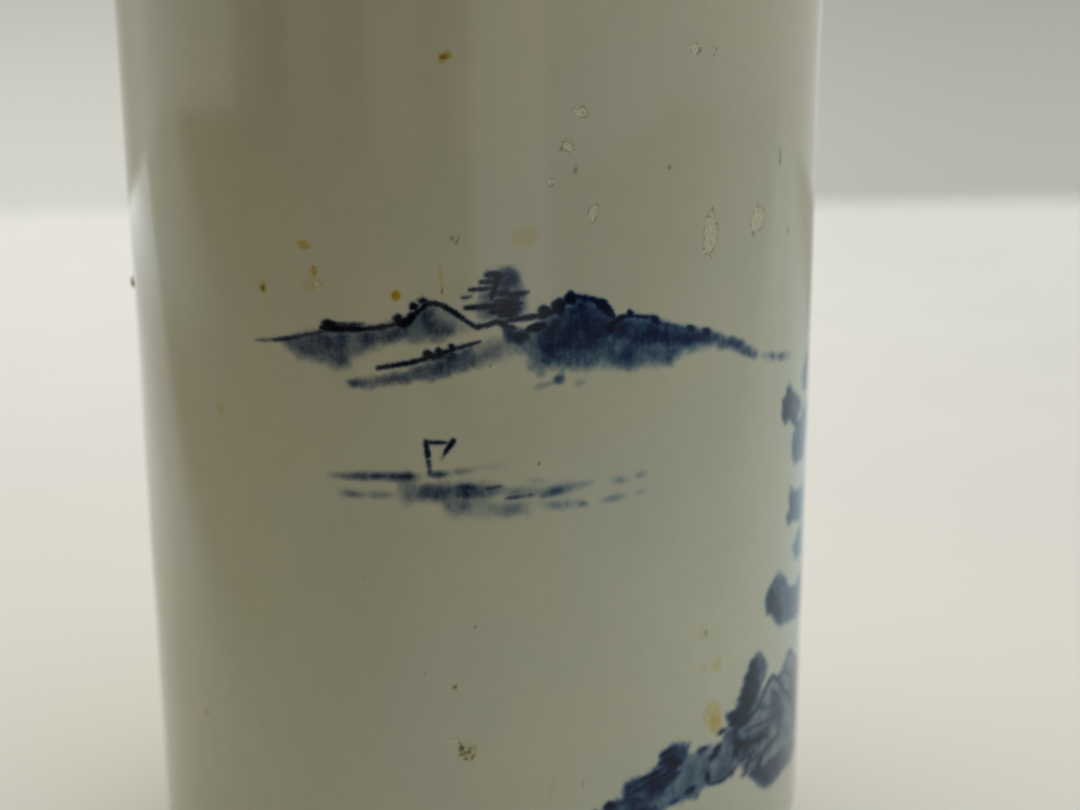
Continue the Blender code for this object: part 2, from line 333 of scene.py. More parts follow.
def right_hill(paint):
    """The dark hill to the right of the pine, running out in a broken tail."""
    for at, size in (((7.4, 83.1), (1.35, 1.25)), ((9, 83.6), (1.5, 1.7)), ((10.3, 84.4), (1.4, 1.4))):
        paint.dab(at, size)
    paint.line([(5.4, 81.15), (7.2, 81.6)], 0.75, ends=(0.2, 1.1))
    paint.line([(7, 82.4), (7.8, 82.9), (8.8, 83.2)], 0.6)
    paint.line([(10.6, 84.65), (13.3, 84)], 0.46, 0.95, ends=(1, 1))
    paint.line([(13.2, 83.95), (14.1, 83.4), (14.7, 82.7), (15.4, 81.9)], 1.05, ends=(0.6, 0.35))
    paint.line([(14.6, 80.8), (15.4, 81.4), (16.2, 81.85), (17.3, 82.1)], 0.60)
    paint.dab((17.3, 82.25), (0.75, 0.8))
    paint.line([(17.2, 82), (20.2, 81.6)], 0.36, 0.85)
    paint.dab((20.5, 81.3), (1.3, 0.75), lean=-38)
    paint.line([(20.8, 81), (22, 80.6), (23.4, 80.25), (24.8, 79.8)], 0.42, 0.45)
    paint.dab((25.5, 79.8), (1.15, 0.7), lean=-15)
    paint.dab((27.85, 79.2), (1.1, 0.75), lean=-20)
    paint.dab((15, 80.6), (0.9, 0.9), load=0.5)
    paint.dab((13.3, 80.1), (1.3, 0.5), load=0.5)
    outline = [(7, 81.6), (8.2, 82.6), (10, 83.6), (11.4, 84.2), (13, 83.7), (14.4, 82.4), (15.4, 81.5),
               (17.2, 81.8), (20, 81.3), (21.4, 80.6), (23.2, 80.1), (24.8, 79.6), (26.4, 79.3), (28.2, 78.9),
               (29.2, 78.4), (28.6, 77.7), (27, 77.6), (25.6, 77.4), (24.4, 77.7), (23.7, 77), (22.8, 76.3),
               (19, 76.5), (17.2, 76.2), (14, 76.9), (12.4, 76.7), (8.8, 77), (7.9, 77.4), (7.5, 79),
               (7.2, 80.4)]
    paint.area(outline, 2, ragged=0.12, edge=1)
    paint.area([(7.8, 82), (11.4, 84), (13.6, 83.4), (15, 81.6), (14.2, 79.2), (11, 78.4), (7.8, 79)], 1.9,
               edge=0.7)
    paint.area([(14.8, 81.3), (20.4, 81.3), (24, 79.9), (28.4, 78.9), (27.6, 77.9), (24.8, 78), (20, 78.8),
                (15.6, 79.4)], 1.5, edge=0.6)
    for at, size, density in (((12.2, 78.2), (0.9, 3.4), 0.6), ((9.2, 78.4), (1.2, 2.4), 0.4),
                              ((17.4, 77.4), (3, 2), 0.4), ((22.6, 77.2), (0.9, 2.2), 0.5),
                              ((25.8, 78.6), (1.9, 1.4), 0.9), ((20.4, 79.8), (2.6, 1.6), 0.8)):
        paint.blot(at, size, density, edge=0.9)
    # the tail
    paint.band([(28.6, 78.4), (31.6, 77.3), (34.4, 76.3), (37, 75.2)], 1.1, 1.3, ends=(1.2, 0.5), edge=0.5)
    paint.band([(38.4, 74.8), (43, 74), (46.4, 73.5)], 0.7, 0.7, ends=(0.5, 0.9), edge=0.5)
    for at, size, density in (((30.4, 77.2), (1.6, 1), 0.9), ((30.2, 78.2), (1.6, 0.9), 0.7),
                              ((32.2, 77.5), (1.6, 1), 1.4), ((33.6, 77), (1.6, 0.9), 1.2),
                              ((34.5, 75.9), (1, 0.9), 0.9), ((35.4, 75.8), (1.3, 0.9), 1.4),
                              ((36.6, 75.2), (0.9, 0.6), 0.9), ((41, 74.4), (1.4, 0.7), 0.9),
                              ((43.6, 73.9), (1.8, 0.7), 1.1)):
        paint.blot(at, size, density, lean=paint.rng.uniform(-40, 10), edge=0.8)
    for at, size, density in (((9, 75.5), (1, 0.9), 1.7), ((9.3, 76.2), (0.5, 0.7), 0.5),
                              ((6.9, 74.8), (1.4, 0.7), 0.4), ((8, 75.1), (0.9, 0.5), 0.4),
                              ((11.4, 75), (1.2, 0.7), 0.5)):
        paint.blot(at, size, density, lean=15, edge=0.9)


def boat_and_water(paint):
    """A small boat with its mast and sail, on a few broken strokes of water."""
    paint.line([(-5.75, 68.85), (-5.6, 67.4)], 0.46, 0.9, ends=(0.9, 0.9))
    paint.line([(-5.6, 67.6), (-5.4, 65.3)], 0.50, 0.50, ends=(0.9, 0.7))
    paint.line([(-5.8, 68.8), (-3.3, 68.75)], 0.36, 0.75)
    paint.line([(-2.75, 68.95), (-3.7, 67.6)], 0.50, 0.9, ends=(1, 0.4))
    paint.line([(-3.6, 67.7), (-4.1, 66.9)], 0.26, 0.35)
    for start, end, width, density in (
        ((-17, 64.5), (-12.4, 64.6), 0.55, 1), ((-14.6, 64.6), (-9.4, 64.8), 0.75, 1.4),
        ((-10, 64.75), (-6.8, 64.8), 0.80, 1.9), ((-12.6, 64.65), (-10.6, 64.75), 0.5, 0.8),
        ((-15.8, 62.55), (-13.2, 62.5), 0.55, 1.4), ((-12.8, 62.6), (-9.6, 62.6), 0.6, 0.9),
        ((-5.6, 65.1), (-3.4, 65.2), 0.55, 1.6), ((-3.2, 65.4), (-0.6, 65.6), 0.45, 0.9),
        ((-0.6, 65.9), (3, 66.1), 0.4, 0.25), ((-6.8, 63.3), (-3.6, 63.2), 1.2, 1.2),
        ((-6.4, 62.6), (-3.4, 62.4), 0.6, 0.5), ((-3.4, 63.1), (-0.1, 63.3), 1.3, 1.6),
        ((-2.8, 63.8), (-0.6, 63.8), 0.45, 0.6), ((-2.8, 62.7), (0, 63), 0.5, 0.5),
        ((0, 63.1), (3, 63), 0.9, 0.4), ((3, 62.9), (6, 63), 0.8, 0.6),
        ((6.8, 62.6), (10, 63.1), 0.85, 1.2), ((8.4, 62.9), (9.9, 63.05), 0.5, 1),
        ((10, 63.2), (12.8, 63.4), 0.45, 0.6), ((5.2, 64.2), (7.6, 64.2), 0.4, 0.3),
        ((15.2, 63.4), (17.2, 63.3), 0.55, 0.7), ((18, 63.6), (19.4, 63.7), 0.5, 0.6),
        ((13.8, 61.2), (16.8, 61.5), 0.5, 0.75), ((18, 61.6), (19.6, 61.7), 0.4, 0.4),
        ((-3.8, 61.6), (-0.5, 61.6), 0.9, 0.7), ((-3.4, 60.9), (-1.2, 61), 0.6, 0.5),
        ((1.6, 61), (5.4, 61), 1.2, 0.4), ((6.6, 61.2), (11.2, 61.2), 0.8, 0.5),
    ):
        paint.band([start, end], width, 0.95 * density, ends=(0.25, 0.35), edge=0.5)
    paint.area([(-7, 63.9), (-3.4, 64.2), (0.4, 64.2), (2.6, 63.6), (1, 62.4), (-3, 62), (-7, 62.2)], 0.75,
               edge=0.8)
    paint.area([(-4.2, 62.4), (-0.6, 62.4), (3, 61.9), (5.8, 61.6), (5.4, 60.3), (1.8, 60.1), (-3.6, 60.4)],
               0.42, edge=0.8)
    paint.area([(2.6, 63.6), (6, 63.8), (10.2, 63.8), (12.6, 63.6), (10, 62.2), (6, 61.9), (3, 62)], 0.22,
               edge=0.6)
    paint.area([(6.6, 61.6), (11.6, 61.6), (12.4, 60.9), (9, 60.5)], 0.22, edge=0.5)
    paint.blot((-8, 63.4), (1.7, 3), 0.8, edge=0.9)
    for points, width, load in (
        ([(-9.8, 64.8), (-7.2, 64.95)], 0.46, 0.35), ([(-12.4, 64.7), (-10.4, 64.8)], 0.34, 0.22),
        ([(-5.4, 65.1), (-3.6, 65.2)], 0.38, 0.32), ([(-2.4, 63.7), (-1.4, 63.75), (-0.5, 63.5)], 0.42, 0.30),
        ([(0.7, 63.5), (2.5, 63.75)], 0.34, 0.42), ([(3, 62.3), (5, 62.5)], 0.34, 0.50),
        ([(5, 62.5), (6.2, 62.6)], 0.34, 0.34), ([(7, 62.4), (8.6, 62.7)], 0.30, 0.28),
    ):
        paint.line(points, width, load)
    paint.dab((11.7, 61.05), (0.9, 0.6), load=0.28)


def leafy_tree(paint, trunk, clumps):
    """A tall thin tree: a trunk given from foot to top, with clumps of leaves (s, z, width, height)."""
    rng = paint.rng
    paint.line(trunk, 0.7, 0.55, ends=(1.4, 0.4))
    across, heights = zip(*trunk)
    for s, z, wide, high in clumps:
        root = (np.interp(z - 0.25 * wide, heights, across), z - 0.25 * wide)
        paint.line([root, ((root[0] + s) / 2, (root[1] + z) / 2 + 0.3), (s, z)], 0.36, 0.5)
        for _ in range(7):
            spot = rng.uniform(-0.34, 0.34, 2) * (wide, high)
            size = rng.uniform(0.34, 0.6, 2) * (wide, high)
            paint.blot((s + spot[0], z + spot[1]), size, 0.6, lean=rng.uniform(-20, 20))
        for _ in range(12):
            spot = rng.normal(0, 0.26, 2) * (wide, high)
            paint.dab((s + spot[0], z + spot[1]), (rng.uniform(0.7, 1.3), 0.55), rng.uniform(-35, 35), 0.42)


def rock(paint, left, foot, wide, high):
    """A craggy rock, standing at a height: a broken outline with slanting cracks and a shaded right side."""
    rng = paint.rng
    shape = ((0, 0), (0.05, 0.34), (0.20, 0.52), (0.27, 0.86), (0.40, 1), (0.50, 0.80), (0.66, 0.70),
             (0.76, 0.38), (0.92, 0.28), (1, 0))
    ridge = [(left + wide * (u + rng.uniform(-0.03, 0.03)), foot + high * v * rng.uniform(0.93, 1.05))
             for u, v in shape]
    paint.area(ridge, 0.7, edge=0.5)
    paint.area(ridge[4:8] + [(left + 0.68 * wide, foot + 0.1 * high),
                             (left + 0.5 * wide, foot + 0.45 * high)], 0.8)
    for a, b in zip(ridge, ridge[1:]):
        middle = ((a[0] + b[0]) / 2 + rng.uniform(-0.3, 0.3), (a[1] + b[1]) / 2 + rng.uniform(-0.2, 0.4))
        paint.line([a, middle, b], 0.5, rng.uniform(0.55, 0.85), ends=(0.7, 0.5))
    for i, length in ((2, 0.30), (3, 0.50), (4, 0.62), (5, 0.40), (6, 0.45), (7, 0.25)):
        s, z = ridge[i]
        paint.line([(s, z), (s + 0.07 * wide, z - 0.45 * length * high),
                    (s + 0.05 * wide, z - length * high)], 0.34, 0.6)
    for i in (1, 3, 4, 6):
        paint.dab(ridge[i], (1.2, 0.8), rng.uniform(-20, 30), 0.8)


def cypress(paint):
    """A pointed tree leaning off the rocks, a dark mass with a toothed left edge."""
    paint.area([(37.5, 36.2), (39.2, 36.8), (40.3, 36.2), (41.7, 34.5), (42.1, 33.3), (40.9, 32.2),
                (40.4, 31), (39.6, 29.8), (37.8, 28.4), (35.6, 27.6), (34.2, 28), (33.2, 29), (32.7, 30.6),
                (34.2, 30.6), (35, 31.4), (35.4, 32.2), (36, 33.4), (36.4, 34.6), (37.3, 35.4)], 1.7,
               ragged=0.2)
    paint.area([(37.8, 35.6), (39.4, 35.8), (39.8, 34), (39.6, 31.6), (38, 29.8), (35.4, 28.6), (33.6, 29.6),
                (35.6, 31.2), (36.6, 33.2)], 2.4)
    for at, size, load in (((38.2, 35.8), (2, 0.9), 0.45), ((37.6, 34.4), (2.6, 1), 0.6),
                           ((37.2, 33.2), (2.4, 0.9), 0.4), ((36.4, 31.8), (2.8, 1), 0.6),
                           ((38, 30.8), (2.6, 1), 0.5), ((33.8, 30.3), (2, 0.9), 0.55),
                           ((34.4, 29.2), (2.2, 1), 0.6), ((36.4, 28.5), (3, 0.9), 0.6),
                           ((34.4, 27.9), (1.6, 0.7), 0.4), ((32, 28.7), (1.5, 0.6), 0.7),
                           ((37.2, 32), (1.2, 3.4), 0.35)):
        paint.dab(at, size, lean=paint.rng.uniform(0, 22), load=load)


def rocks(paint):
    """A heap of rocks under the tree, their outlines and cracks drawn over a pale wash."""
    for points, width, load in (
        ([(39.6, 29.2), (41, 30.6), (42.4, 31.6), (43.8, 32), (45.2, 31.3)], 0.75, 0.62),
        ([(45, 31.4), (46.4, 30.2), (48.2, 28.2), (50.4, 26.8), (53, 25.4)], 0.75, 0.50),
        ([(44.8, 31.2), (46.8, 31.3), (48.2, 32.1), (49.6, 33.1), (51.2, 32.7), (53.2, 31.2),
          (56, 29.8)], 0.70, 0.42),
        ([(36.8, 28), (38.8, 28.9), (40.6, 29.3)], 0.6, 0.5),
        ([(48.2, 30.9), (49.6, 30.4), (51, 29.6)], 0.6, 0.35),
        ([(36.4, 27.2), (39.6, 26.8), (43.6, 26.2), (46, 26)], 0.42, 0.38),
        ([(34.6, 26.3), (36.2, 25.6), (37.8, 25.3)], 0.75, 0.70),
        ([(37.6, 25.3), (40, 25.2), (43.2, 25.5)], 0.50, 0.60),
        ([(36, 24.3), (38.8, 24.7), (41.4, 24.5), (42.8, 24.1)], 0.55, 0.55),
        ([(39.8, 21.6), (41.2, 22.4), (44, 22.9), (47, 23), (49.6, 23.6)], 0.62, 0.58),
        ([(46.2, 27.8), (47, 26.2), (48, 24.8)], 0.55, 0.32),
        ([(43.4, 30.4), (45.6, 28.6), (47, 27)], 0.55, 0.30),
        ([(40.4, 28.8), (46.6, 27.2)], 0.50, 0.28),
        ([(50.4, 27), (53.4, 23.6), (56.4, 20.6)], 0.7, 0.35),
    ):
        paint.line(points, 0.72 * width, 1.7 * load)
    for s, z in ((35.4, 25.2), (37, 25.2), (37.6, 22.4), (37, 21.3), (38.7, 20.7), (39.5, 22.6), (40.6, 21.1),
                 (40.8, 24.6), (36.6, 23.6), (38.4, 23.4), (39.6, 20)):
        paint.line([(s - 0.8, z - 0.2), (s, z), (s + 0.8, z + 0.35)], 0.48, 0.68)
    paint.area([(34, 28.4), (37, 28.2), (40, 29.2), (41.4, 31), (43.6, 31.8), (46, 31.1), (49.6, 32.8),
                (53, 31.4), (57, 29.8), (62, 28), (62, 19), (55, 19.6), (50, 21.2), (46, 22.4),
                (41.6, 21.4), (38.8, 20.2), (36.6, 21.6), (35.6, 23), (34, 25)], 1.1)
    paint.area([(43.4, 30.4), (46.4, 28.8), (48.6, 25.2), (47, 23.6), (43.8, 25.2), (43.6, 28)], 1.04,
               edge=0.6)
    paint.area([(50, 30.6), (55, 29.2), (60, 26), (60, 20), (54, 22), (50.6, 26)], 1, edge=0.7)
    paint.area([(34.4, 26.6), (38, 26.2), (43.4, 25.8), (43, 24), (38, 23), (35, 24.4)], 0.7, edge=0.6)
    paint.area([(38.6, 20.4), (41, 20.6), (44, 20.4), (48, 20), (54, 19.2), (61, 18.6), (61, 16.4),
                (54, 16.4), (48, 16.8), (43.4, 16.7), (41.4, 17.5), (40, 18.7)], 2.21, edge=0.5)
    paint.area([(38, 21.6), (46, 22.6), (54, 21.4), (60, 19.6), (54, 18.8), (46, 19.8), (39.6, 20)], 0.91,
               edge=0.6)
    paint.area([(40.2, 19.8), (44.6, 19.6), (46.4, 18.2), (43.8, 17.2), (41.6, 18)], 0.78, edge=0.5)


def shore(paint):
    """The wooded bank that runs down from the rocks to the left."""
    paint.area([(16.8, 24.2), (17.2, 26), (19, 26.4), (20.6, 26.6), (21.7, 27.6), (22.1, 28.7), (23.6, 29.4),
                (25.4, 29.2), (26.4, 28.5), (26.2, 27.5), (27.6, 27.2), (28.2, 27.6), (29.4, 27.5),
                (30.4, 27.1), (31.6, 27.2), (32.4, 28.4), (34.6, 28.6), (36, 26), (35.6, 23.4), (34, 22),
                (32, 22.1), (30.4, 22.1), (29.4, 22.7), (28.2, 22), (27.4, 21.2), (26.4, 21.6), (25, 21.5),
                (23, 21.5), (21.6, 20.6), (20, 19.4), (17, 18.6), (14.6, 20.6), (14.6, 23.4)], 1.5,
               ragged=0.2)
    paint.area([(16.8, 24.2), (17.2, 25.8), (20.6, 26.4), (23.6, 26.4), (25.2, 25.4), (23, 24), (21.4, 22.6),
                (21.2, 19.8), (17, 19), (15, 20.8), (15, 23.4)], 1.3, edge=0.5)
    paint.area([(21.8, 27), (22.2, 28.8), (23.8, 29.3), (25.4, 28.9), (26, 27.4), (25.2, 26.4), (23, 26.2)],
               1.3, ragged=0.15)
    # a wood drawn with long slanting strokes
    for points, width, load in (
        ([(18.8, 25.95), (20.8, 26.2), (22.8, 26.85)], 0.50, 0.72),
        ([(17.6, 24.5), (22.2, 25.6)], 0.44, 0.60), ([(20.2, 25.3), (24, 26.1)], 0.50, 0.72),
        ([(20.4, 24.4), (24.8, 25.5)], 0.52, 0.72), ([(20.6, 23.9), (22.4, 24.2), (24.2, 24.8)], 0.40, 0.50),
        ([(17, 23.8), (18.4, 23.6), (19.8, 23)], 0.60, 0.42), ([(21.9, 28.35), (24, 28.9)], 0.66, 0.66),
        ([(21.9, 27.35), (23.9, 27.95)], 0.72, 0.72), ([(23.2, 26.8), (24.9, 27.2)], 0.95, 0.75),
        ([(24, 26.3), (25.6, 26.9)], 0.5, 0.5), ([(17.2, 25.2), (19.6, 25.7)], 0.44, 0.30),
        ([(18.2, 22.4), (20, 22), (21.4, 21.4)], 0.6, 0.35), ([(29.3, 23.6), (29.6, 22.6), (30.8, 22.15),
                                                               (33, 22.15), (35.4, 23)], 0.46, 0.60),
    ):
        paint.line(points, width, load)
    for at, size, load in (((15, 23.5), (1.5, 1.1), 0.85), ((26.6, 22.6), (1.7, 0.8), 0.75),
                           ((24.1, 21.85), (1.6, 0.5), 0.5), ((29.5, 23.4), (0.9, 1.4), 0.80),
                           ((28.6, 27.4), (1.6, 0.55), 0.60), ((30.5, 25.9), (1.6, 0.75), 0.85),
                           ((31.2, 26.7), (1.4, 0.85), 0.85), ((27.8, 21.6), (0.8, 0.8), 0.30),
                           ((13.2, 22.9), (1.1, 0.9), 0.50)):
        paint.dab(at, size, lean=8, load=load)
    # its end, low on the wall
    paint.slope([(2, 17), (7, 19), (12, 21), (15.4, 22.4)],
                [(2, 16.4), (7, 16.4), (12, 17), (15.4, 18.2)], 1.3, top=1.1, bottom=0.7, ragged=0.4,
                edge=0.7)
    for i in range(4):
        s = 3.4 + 2.6 * i
        paint.line([(s, 17.2 + 0.5 * i), (s + 1.8, 18.0 + 0.5 * i), (s + 4, 18.6 + 0.5 * i)], 0.44, 0.6)


def big_tree(paint):
    """A broad tree above the rocks, its leaves in separate dark masses."""
    rng = paint.rng
    for outline, density in (
        ([(44.5, 68.2), (46.6, 69.8), (48.2, 68.6), (50.2, 67.4), (52.6, 66.4), (51.8, 65.6), (50.2, 64.4),
          (48.8, 64.2), (47.4, 65.3), (46.2, 64.9), (44.6, 65.6), (44.3, 66.8)], 1.4),
        ([(44.6, 67.8), (46.8, 69), (48, 67.2), (46.6, 65.4), (44.8, 66)], 1),
        ([(48.4, 62.4), (50, 64), (53.6, 64.4), (56.6, 65.6), (60.2, 65), (61.8, 63.2), (60.4, 61),
          (57.4, 60.2), (55, 58.4), (53, 58.6), (49.4, 58.9), (48.4, 60.6)], 1.25),
        ([(48.2, 55.8), (50, 55), (54, 54.2), (57.2, 55.6), (60, 55), (61.2, 53), (58.8, 51.2), (56, 49.6),
          (54, 50), (50, 51.2), (47.6, 51.3), (47.1, 52.5), (48.4, 53.4), (47.8, 54.6)], 1.3),
        ([(50.2, 47.4), (53, 49), (56.4, 49), (58.4, 47.8), (59, 46.2), (57, 45), (55, 45),
          (51.6, 45.4)], 1.1),
        ([(40.9, 43.4), (41.8, 44.7), (44.6, 45.7), (46.2, 44.8), (49, 42.4), (53, 41.2), (56.6, 42.4),
          (60.4, 41.8), (62.4, 39.6), (60.6, 37.4), (57, 36.2), (55, 36.6), (49, 37.7), (46, 38.3),
          (44.2, 39.3), (43, 40.8), (41.3, 41.3)], 1.2),
        ([(41.2, 43.8), (42.6, 44.2), (44.4, 42.4), (46.6, 40), (45.4, 39), (43.2, 41), (41.4, 41.8)], 0.9),
        ([(52.8, 69.4), (54.6, 71.6), (57.6, 72.6), (60.4, 71.2), (61.2, 69), (59, 67.6), (56, 67.2),
          (53.6, 67.8)], 1.2),
        ([(60.6, 58.4), (63, 59.8), (66, 58.6), (66.4, 56.8), (63.8, 55.6), (61.2, 56.4)], 1.1),
        ([(60, 49), (62.6, 50.2), (65.4, 49.2), (65, 47.2), (62.2, 46.4), (60.2, 47.2)], 1),
    ):
        paint.area(outline, 1.75 * density, ragged=0.2, edge=0.5)
        path = np.array(outline, float)
        centre = path.mean(axis=0)
        for _ in range(9):
            spot = centre + (path[rng.integers(len(path))] - centre) * rng.uniform(0.3, 0.95)
            paint.dab(spot, rng.uniform(0.6, 1.3, 2), rng.uniform(-40, 40), 0.26)
    for points, width, load in (
        ([(58.6, 33), (57.6, 40), (57.8, 46), (56.8, 56), (56.4, 64), (57, 70.5)], 0.9, 0.45),
        ([(57.4, 44), (54, 42), (50, 40.4)], 0.5, 0.4), ([(57.2, 52.4), (60, 56), (63.4, 57.4)], 0.5, 0.4),
        ([(57.6, 44.6), (62.6, 48.2)], 0.5, 0.4), ([(56.8, 62), (54, 64.6), (51, 66)], 0.5, 0.4),
        ([(47.6, 65.8), (48.8, 64.6), (50.2, 63.6)], 0.8, 0.40),
        ([(48.4, 53.2), (50.8, 52.2), (54, 51.4)], 0.8, 0.30),
        ([(52, 60.6), (53.4, 59.6), (55.2, 58.8)], 0.7, 0.28), ([(43.2, 41.4), (45.8, 39.4)], 0.9, 0.35),
        ([(41.4, 43.2), (42.4, 43), (43.2, 42.4)], 1.3, 0.30),
        ([(49.6, 60.9), (50.8, 60.4), (52, 60.3)], 1.3, 0.22),
        ([(45.4, 68), (46.4, 67.4), (47.2, 66.4)], 1.3, 0.25),
    ):
        paint.line(points, width, load)


def far_side(paint):
    """The painting's far end, round the right of the pot: trees, rocks, a hut, a shore and far hills."""
    big_tree(paint)
    leafy_tree(paint, [(71, 30), (71.6, 44), (73.4, 58), (74, 77)], [
        (74, 77, 6.5, 5), (69.2, 72.4, 6.5, 4), (78.4, 70.6, 7, 4), (67.6, 64.8, 6, 4),
        (77.4, 63.4, 8, 4.4), (81.6, 57.6, 5.4, 3.4), (69, 57.4, 5, 3.4)])
    leafy_tree(paint, [(78, 29), (80.4, 40), (83.4, 50), (84.6, 61)], [
        (85, 61.6, 6, 4.2), (88.4, 56.2, 5.6, 3.4), (80.2, 53.4, 5, 3.4), (87.2, 49.4, 5, 3.2)])
    for left, foot, wide, high in ((53, 21, 13, 9), (61, 19.4, 15, 15), (73, 18.6, 12, 10),
                                   (79, 17.6, 17, 16), (92, 17.4, 11, 7)):
        rock(paint, left, foot, wide, high)
    # hut on stilts at the water's edge
    roof = (101, 33)
    paint.line([(roof[0] - 6, roof[1] - 3.4), (roof[0] - 2.6, roof[1] - 0.8), roof], 0.7)
    paint.line([roof, (roof[0] + 3, roof[1] - 0.8), (roof[0] + 6.6, roof[1] - 3.4)], 0.7)
    paint.line([(roof[0] - 6, roof[1] - 3.5), (roof[0] + 6.6, roof[1] - 3.5)], 0.5)
    for i in range(4):
        s = roof[0] - 4.4 + 2.9 * i
        paint.line([(s, roof[1] - 3.6), (s, roof[1] - 9.6)], 0.42, 0.9, ends=(0.9, 0.7))
    paint.line([(roof[0] - 5, roof[1] - 7.4), (roof[0] + 5.4, roof[1] - 7.4)], 0.42, 0.85)
    paint.slope([(95.6, 30), (101, 32.6), (107, 30)], [(95.6, 29.4), (107, 29.4)], 1.3)
    # shore and water
    paint.slope([(54, 22), (66, 21.6), (84, 19.6), (100, 18.6), (116, 17.2), (124, 16.6)],
                [(54, 20), (62, 15.4), (70, 13.4), (90, 13.4), (110, 14.2), (124, 15.6)],
                0.8, top=1.1, bottom=0.4, ragged=0.9, edge=0.9)
    for i in range(7):
        s = 106.0 + 2.6 * i
        paint.line([(s, 20.4 - 0.5 * i), (s + 2, 20.6 - 0.5 * i), (s + 4.6, 20.3 - 0.5 * i)], 0.42, 0.55)
    # far hills
    ridge = [(82, 72.6), (88, 75.4), (94, 79.8), (98, 78.2), (103, 82.4), (108, 79), (114, 76.2),
             (122, 73.6)]
    paint.line(ridge, 0.5, 0.85)
    paint.slope(ridge, [(82, 72), (92, 71), (104, 70.4), (114, 71.2), (122, 73)], 1.3,
                top=1.3, bottom=0.5, edge=0.6)
    for s, z in ((92.4, 79.4), (94.4, 80.2), (101.6, 82.2), (103.2, 82.9), (105, 82), (110, 78.6)):
        paint.dab((s, z), (1, 1))


def flaws(paint):
    """Iron spots, dark flecks and crawled patches in the glaze, worst near the top of the painted side."""
    rng = paint.rng
    for at, size, density, lean in (
        ((-2.8, 110), (1.6, 0.8), 0.8, 15), ((-3.1, 109.9), (0.8, 0.5), 0.6, 0),
        ((-8.6, 85), (1, 1.1), 1.6, 0), ((-18, 87.4), (0.7, 1.2), 0.9, 10),
        ((-19.2, 90.2), (1.7, 0.7), 0.7, -15), ((-24.8, 85.2), (1.2, 1.3), 0.50, 0),
        ((-3.7, 87), (0.5, 2.8), 0.20, 5), ((-3.6, 85.6), (0.35, 0.9), 0.4, -15),
        ((5.3, 91.2), (3.2, 2.4), 0.14, 20), ((30.2, 31.4), (3.2, 3.6), 0.30, 24),
        ((30.8, 30), (2.2, 3), 0.34, 20), ((30.8, 37.8), (1.8, 1.8), 0.22, 0),
        ((28.6, 38), (1.2, 1.4), 0.14, 30), ((28.4, 42.6), (1.6, 2.2), 0.10, 20),
        ((-38.8, 30.7), (0.8, 0.9), 0.5, 0), ((-3.1, 40), (0.7, 0.7), 0.3, 0),
        ((-32.5, 70.4), (1.2, 1.6), 0.2, 0), ((-49, 95.8), (2.6, 4.6), 0.2, 0),
        ((-56, 90), (1.6, 3.4), 0.3, 0), ((-18.2, 85.9), (3, 1.8), 0.12, 0),
        ((-1.8, 32.1), (2.6, 2.8), 0.16, -30), ((8, 26.8), (1, 3.4), 0.10, -8),
    ):
        paint.rust(at, size, density, lean)
    for at, size, density, lean in (
        ((-24.8, 85.1), (0.45, 0.60), 0.8, 0), ((1.4, 77.3), (0.30, 0.5), 0.5, -5),
        ((6.65, 66.1), (0.28, 0.55), 0.5, -10), ((-3.6, 85.5), (0.22, 0.5), 0.6, -15),
        ((41.5, 98.4), (0.40, 1.6), 0.5, 5), ((41.6, 97.5), (0.45, 0.7), 0.9, 0),
        ((11.7, 27), (0.3, 0.8), 0.2, 0), ((31.9, 28.6), (0.9, 0.5), 0.7, 10),
        ((-2.9, 110), (0.6, 0.4), 0.5, 10), ((-2.4, 91.3), (0.40, 0.40), 0.6, 0),
        ((-2, 90.7), (0.30, 0.45), 0.5, 0), ((-1.7, 91.2), (0.25, 0.25), 0.4, 0),
        ((22.2, 98.1), (0.35, 0.5), 0.6, 0), ((-0.7, 47.2), (0.35, 0.30), 0.5, 30),
        ((-3.1, 40), (0.40, 0.35), 0.8, 0), ((-6.5, 41.4), (0.35, 0.30), 0.4, 0),
        ((28.7, 42.4), (0.35, 0.8), 0.5, 10), ((44.4, 89.2), (0.4, 0.9), 0.4, 0),
        ((26.2, 110.3), (0.5, 0.3), 0.4, 0), ((28.4, 110.2), (0.6, 0.4), 0.5, 20),
        ((11.9, 104.6), (0.5, 0.3), 0.4, 30), ((9.4, 100.4), (0.4, 0.4), 0.4, 0),
        ((10.9, 98.2), (0.5, 0.6), 0.4, 0),
    ):
        paint.fleck(at, size, density, lean)
    for _ in range(22):
        spot = rng.normal(0, (0.55, 0.65))
        paint.fleck((-1.8 + spot[0] - 0.3 * spot[1], 32.1 + spot[1]), rng.uniform(0.22, 0.5, 2), 0.5)
    for at, size, strength in (
        ((28.2, 90.3), (1.8, 5.2), 0.9), ((36.6, 91.2), (2.2, 3.6), 1), ((11.4, 104.2), (1.5, 1.2), 0.6),
        ((10.1, 100.6), (1.4, 1.1), 0.6), ((8.2, 96.9), (0.8, 0.8), 0.4), ((12.9, 93.5), (0.9, 2.2), 0.4),
        ((25.4, 110.6), (1.6, 0.9), 0.5), ((28.3, 110.3), (1, 0.7), 0.4), ((-3.2, 33.4), (0.9, 0.8), 0.5),
        ((-17.6, 85.7), (0.9, 1.2), 0.4),
    ):
        paint.scab(at, size, strength, lean=-10)
    # more of the same all the way round
    for _ in range(34):
        at = (rng.uniform(62, 222), rng.uniform(12, 124))
        if at[0] >= HALF_TURN - 2:
            at = (at[0] - 2 * HALF_TURN, at[1])
        paint.rust(at, rng.uniform(0.4, 1.4, 2), rng.uniform(0.3, 1), rng.uniform(0, 90))
    for _ in range(9):
        at = (rng.uniform(66, 132), rng.uniform(46, 120))
        paint.scab(at, rng.uniform(0.6, 2.2, 2), rng.uniform(0.5, 1))


# ---------------------------------------------------------------- geometry


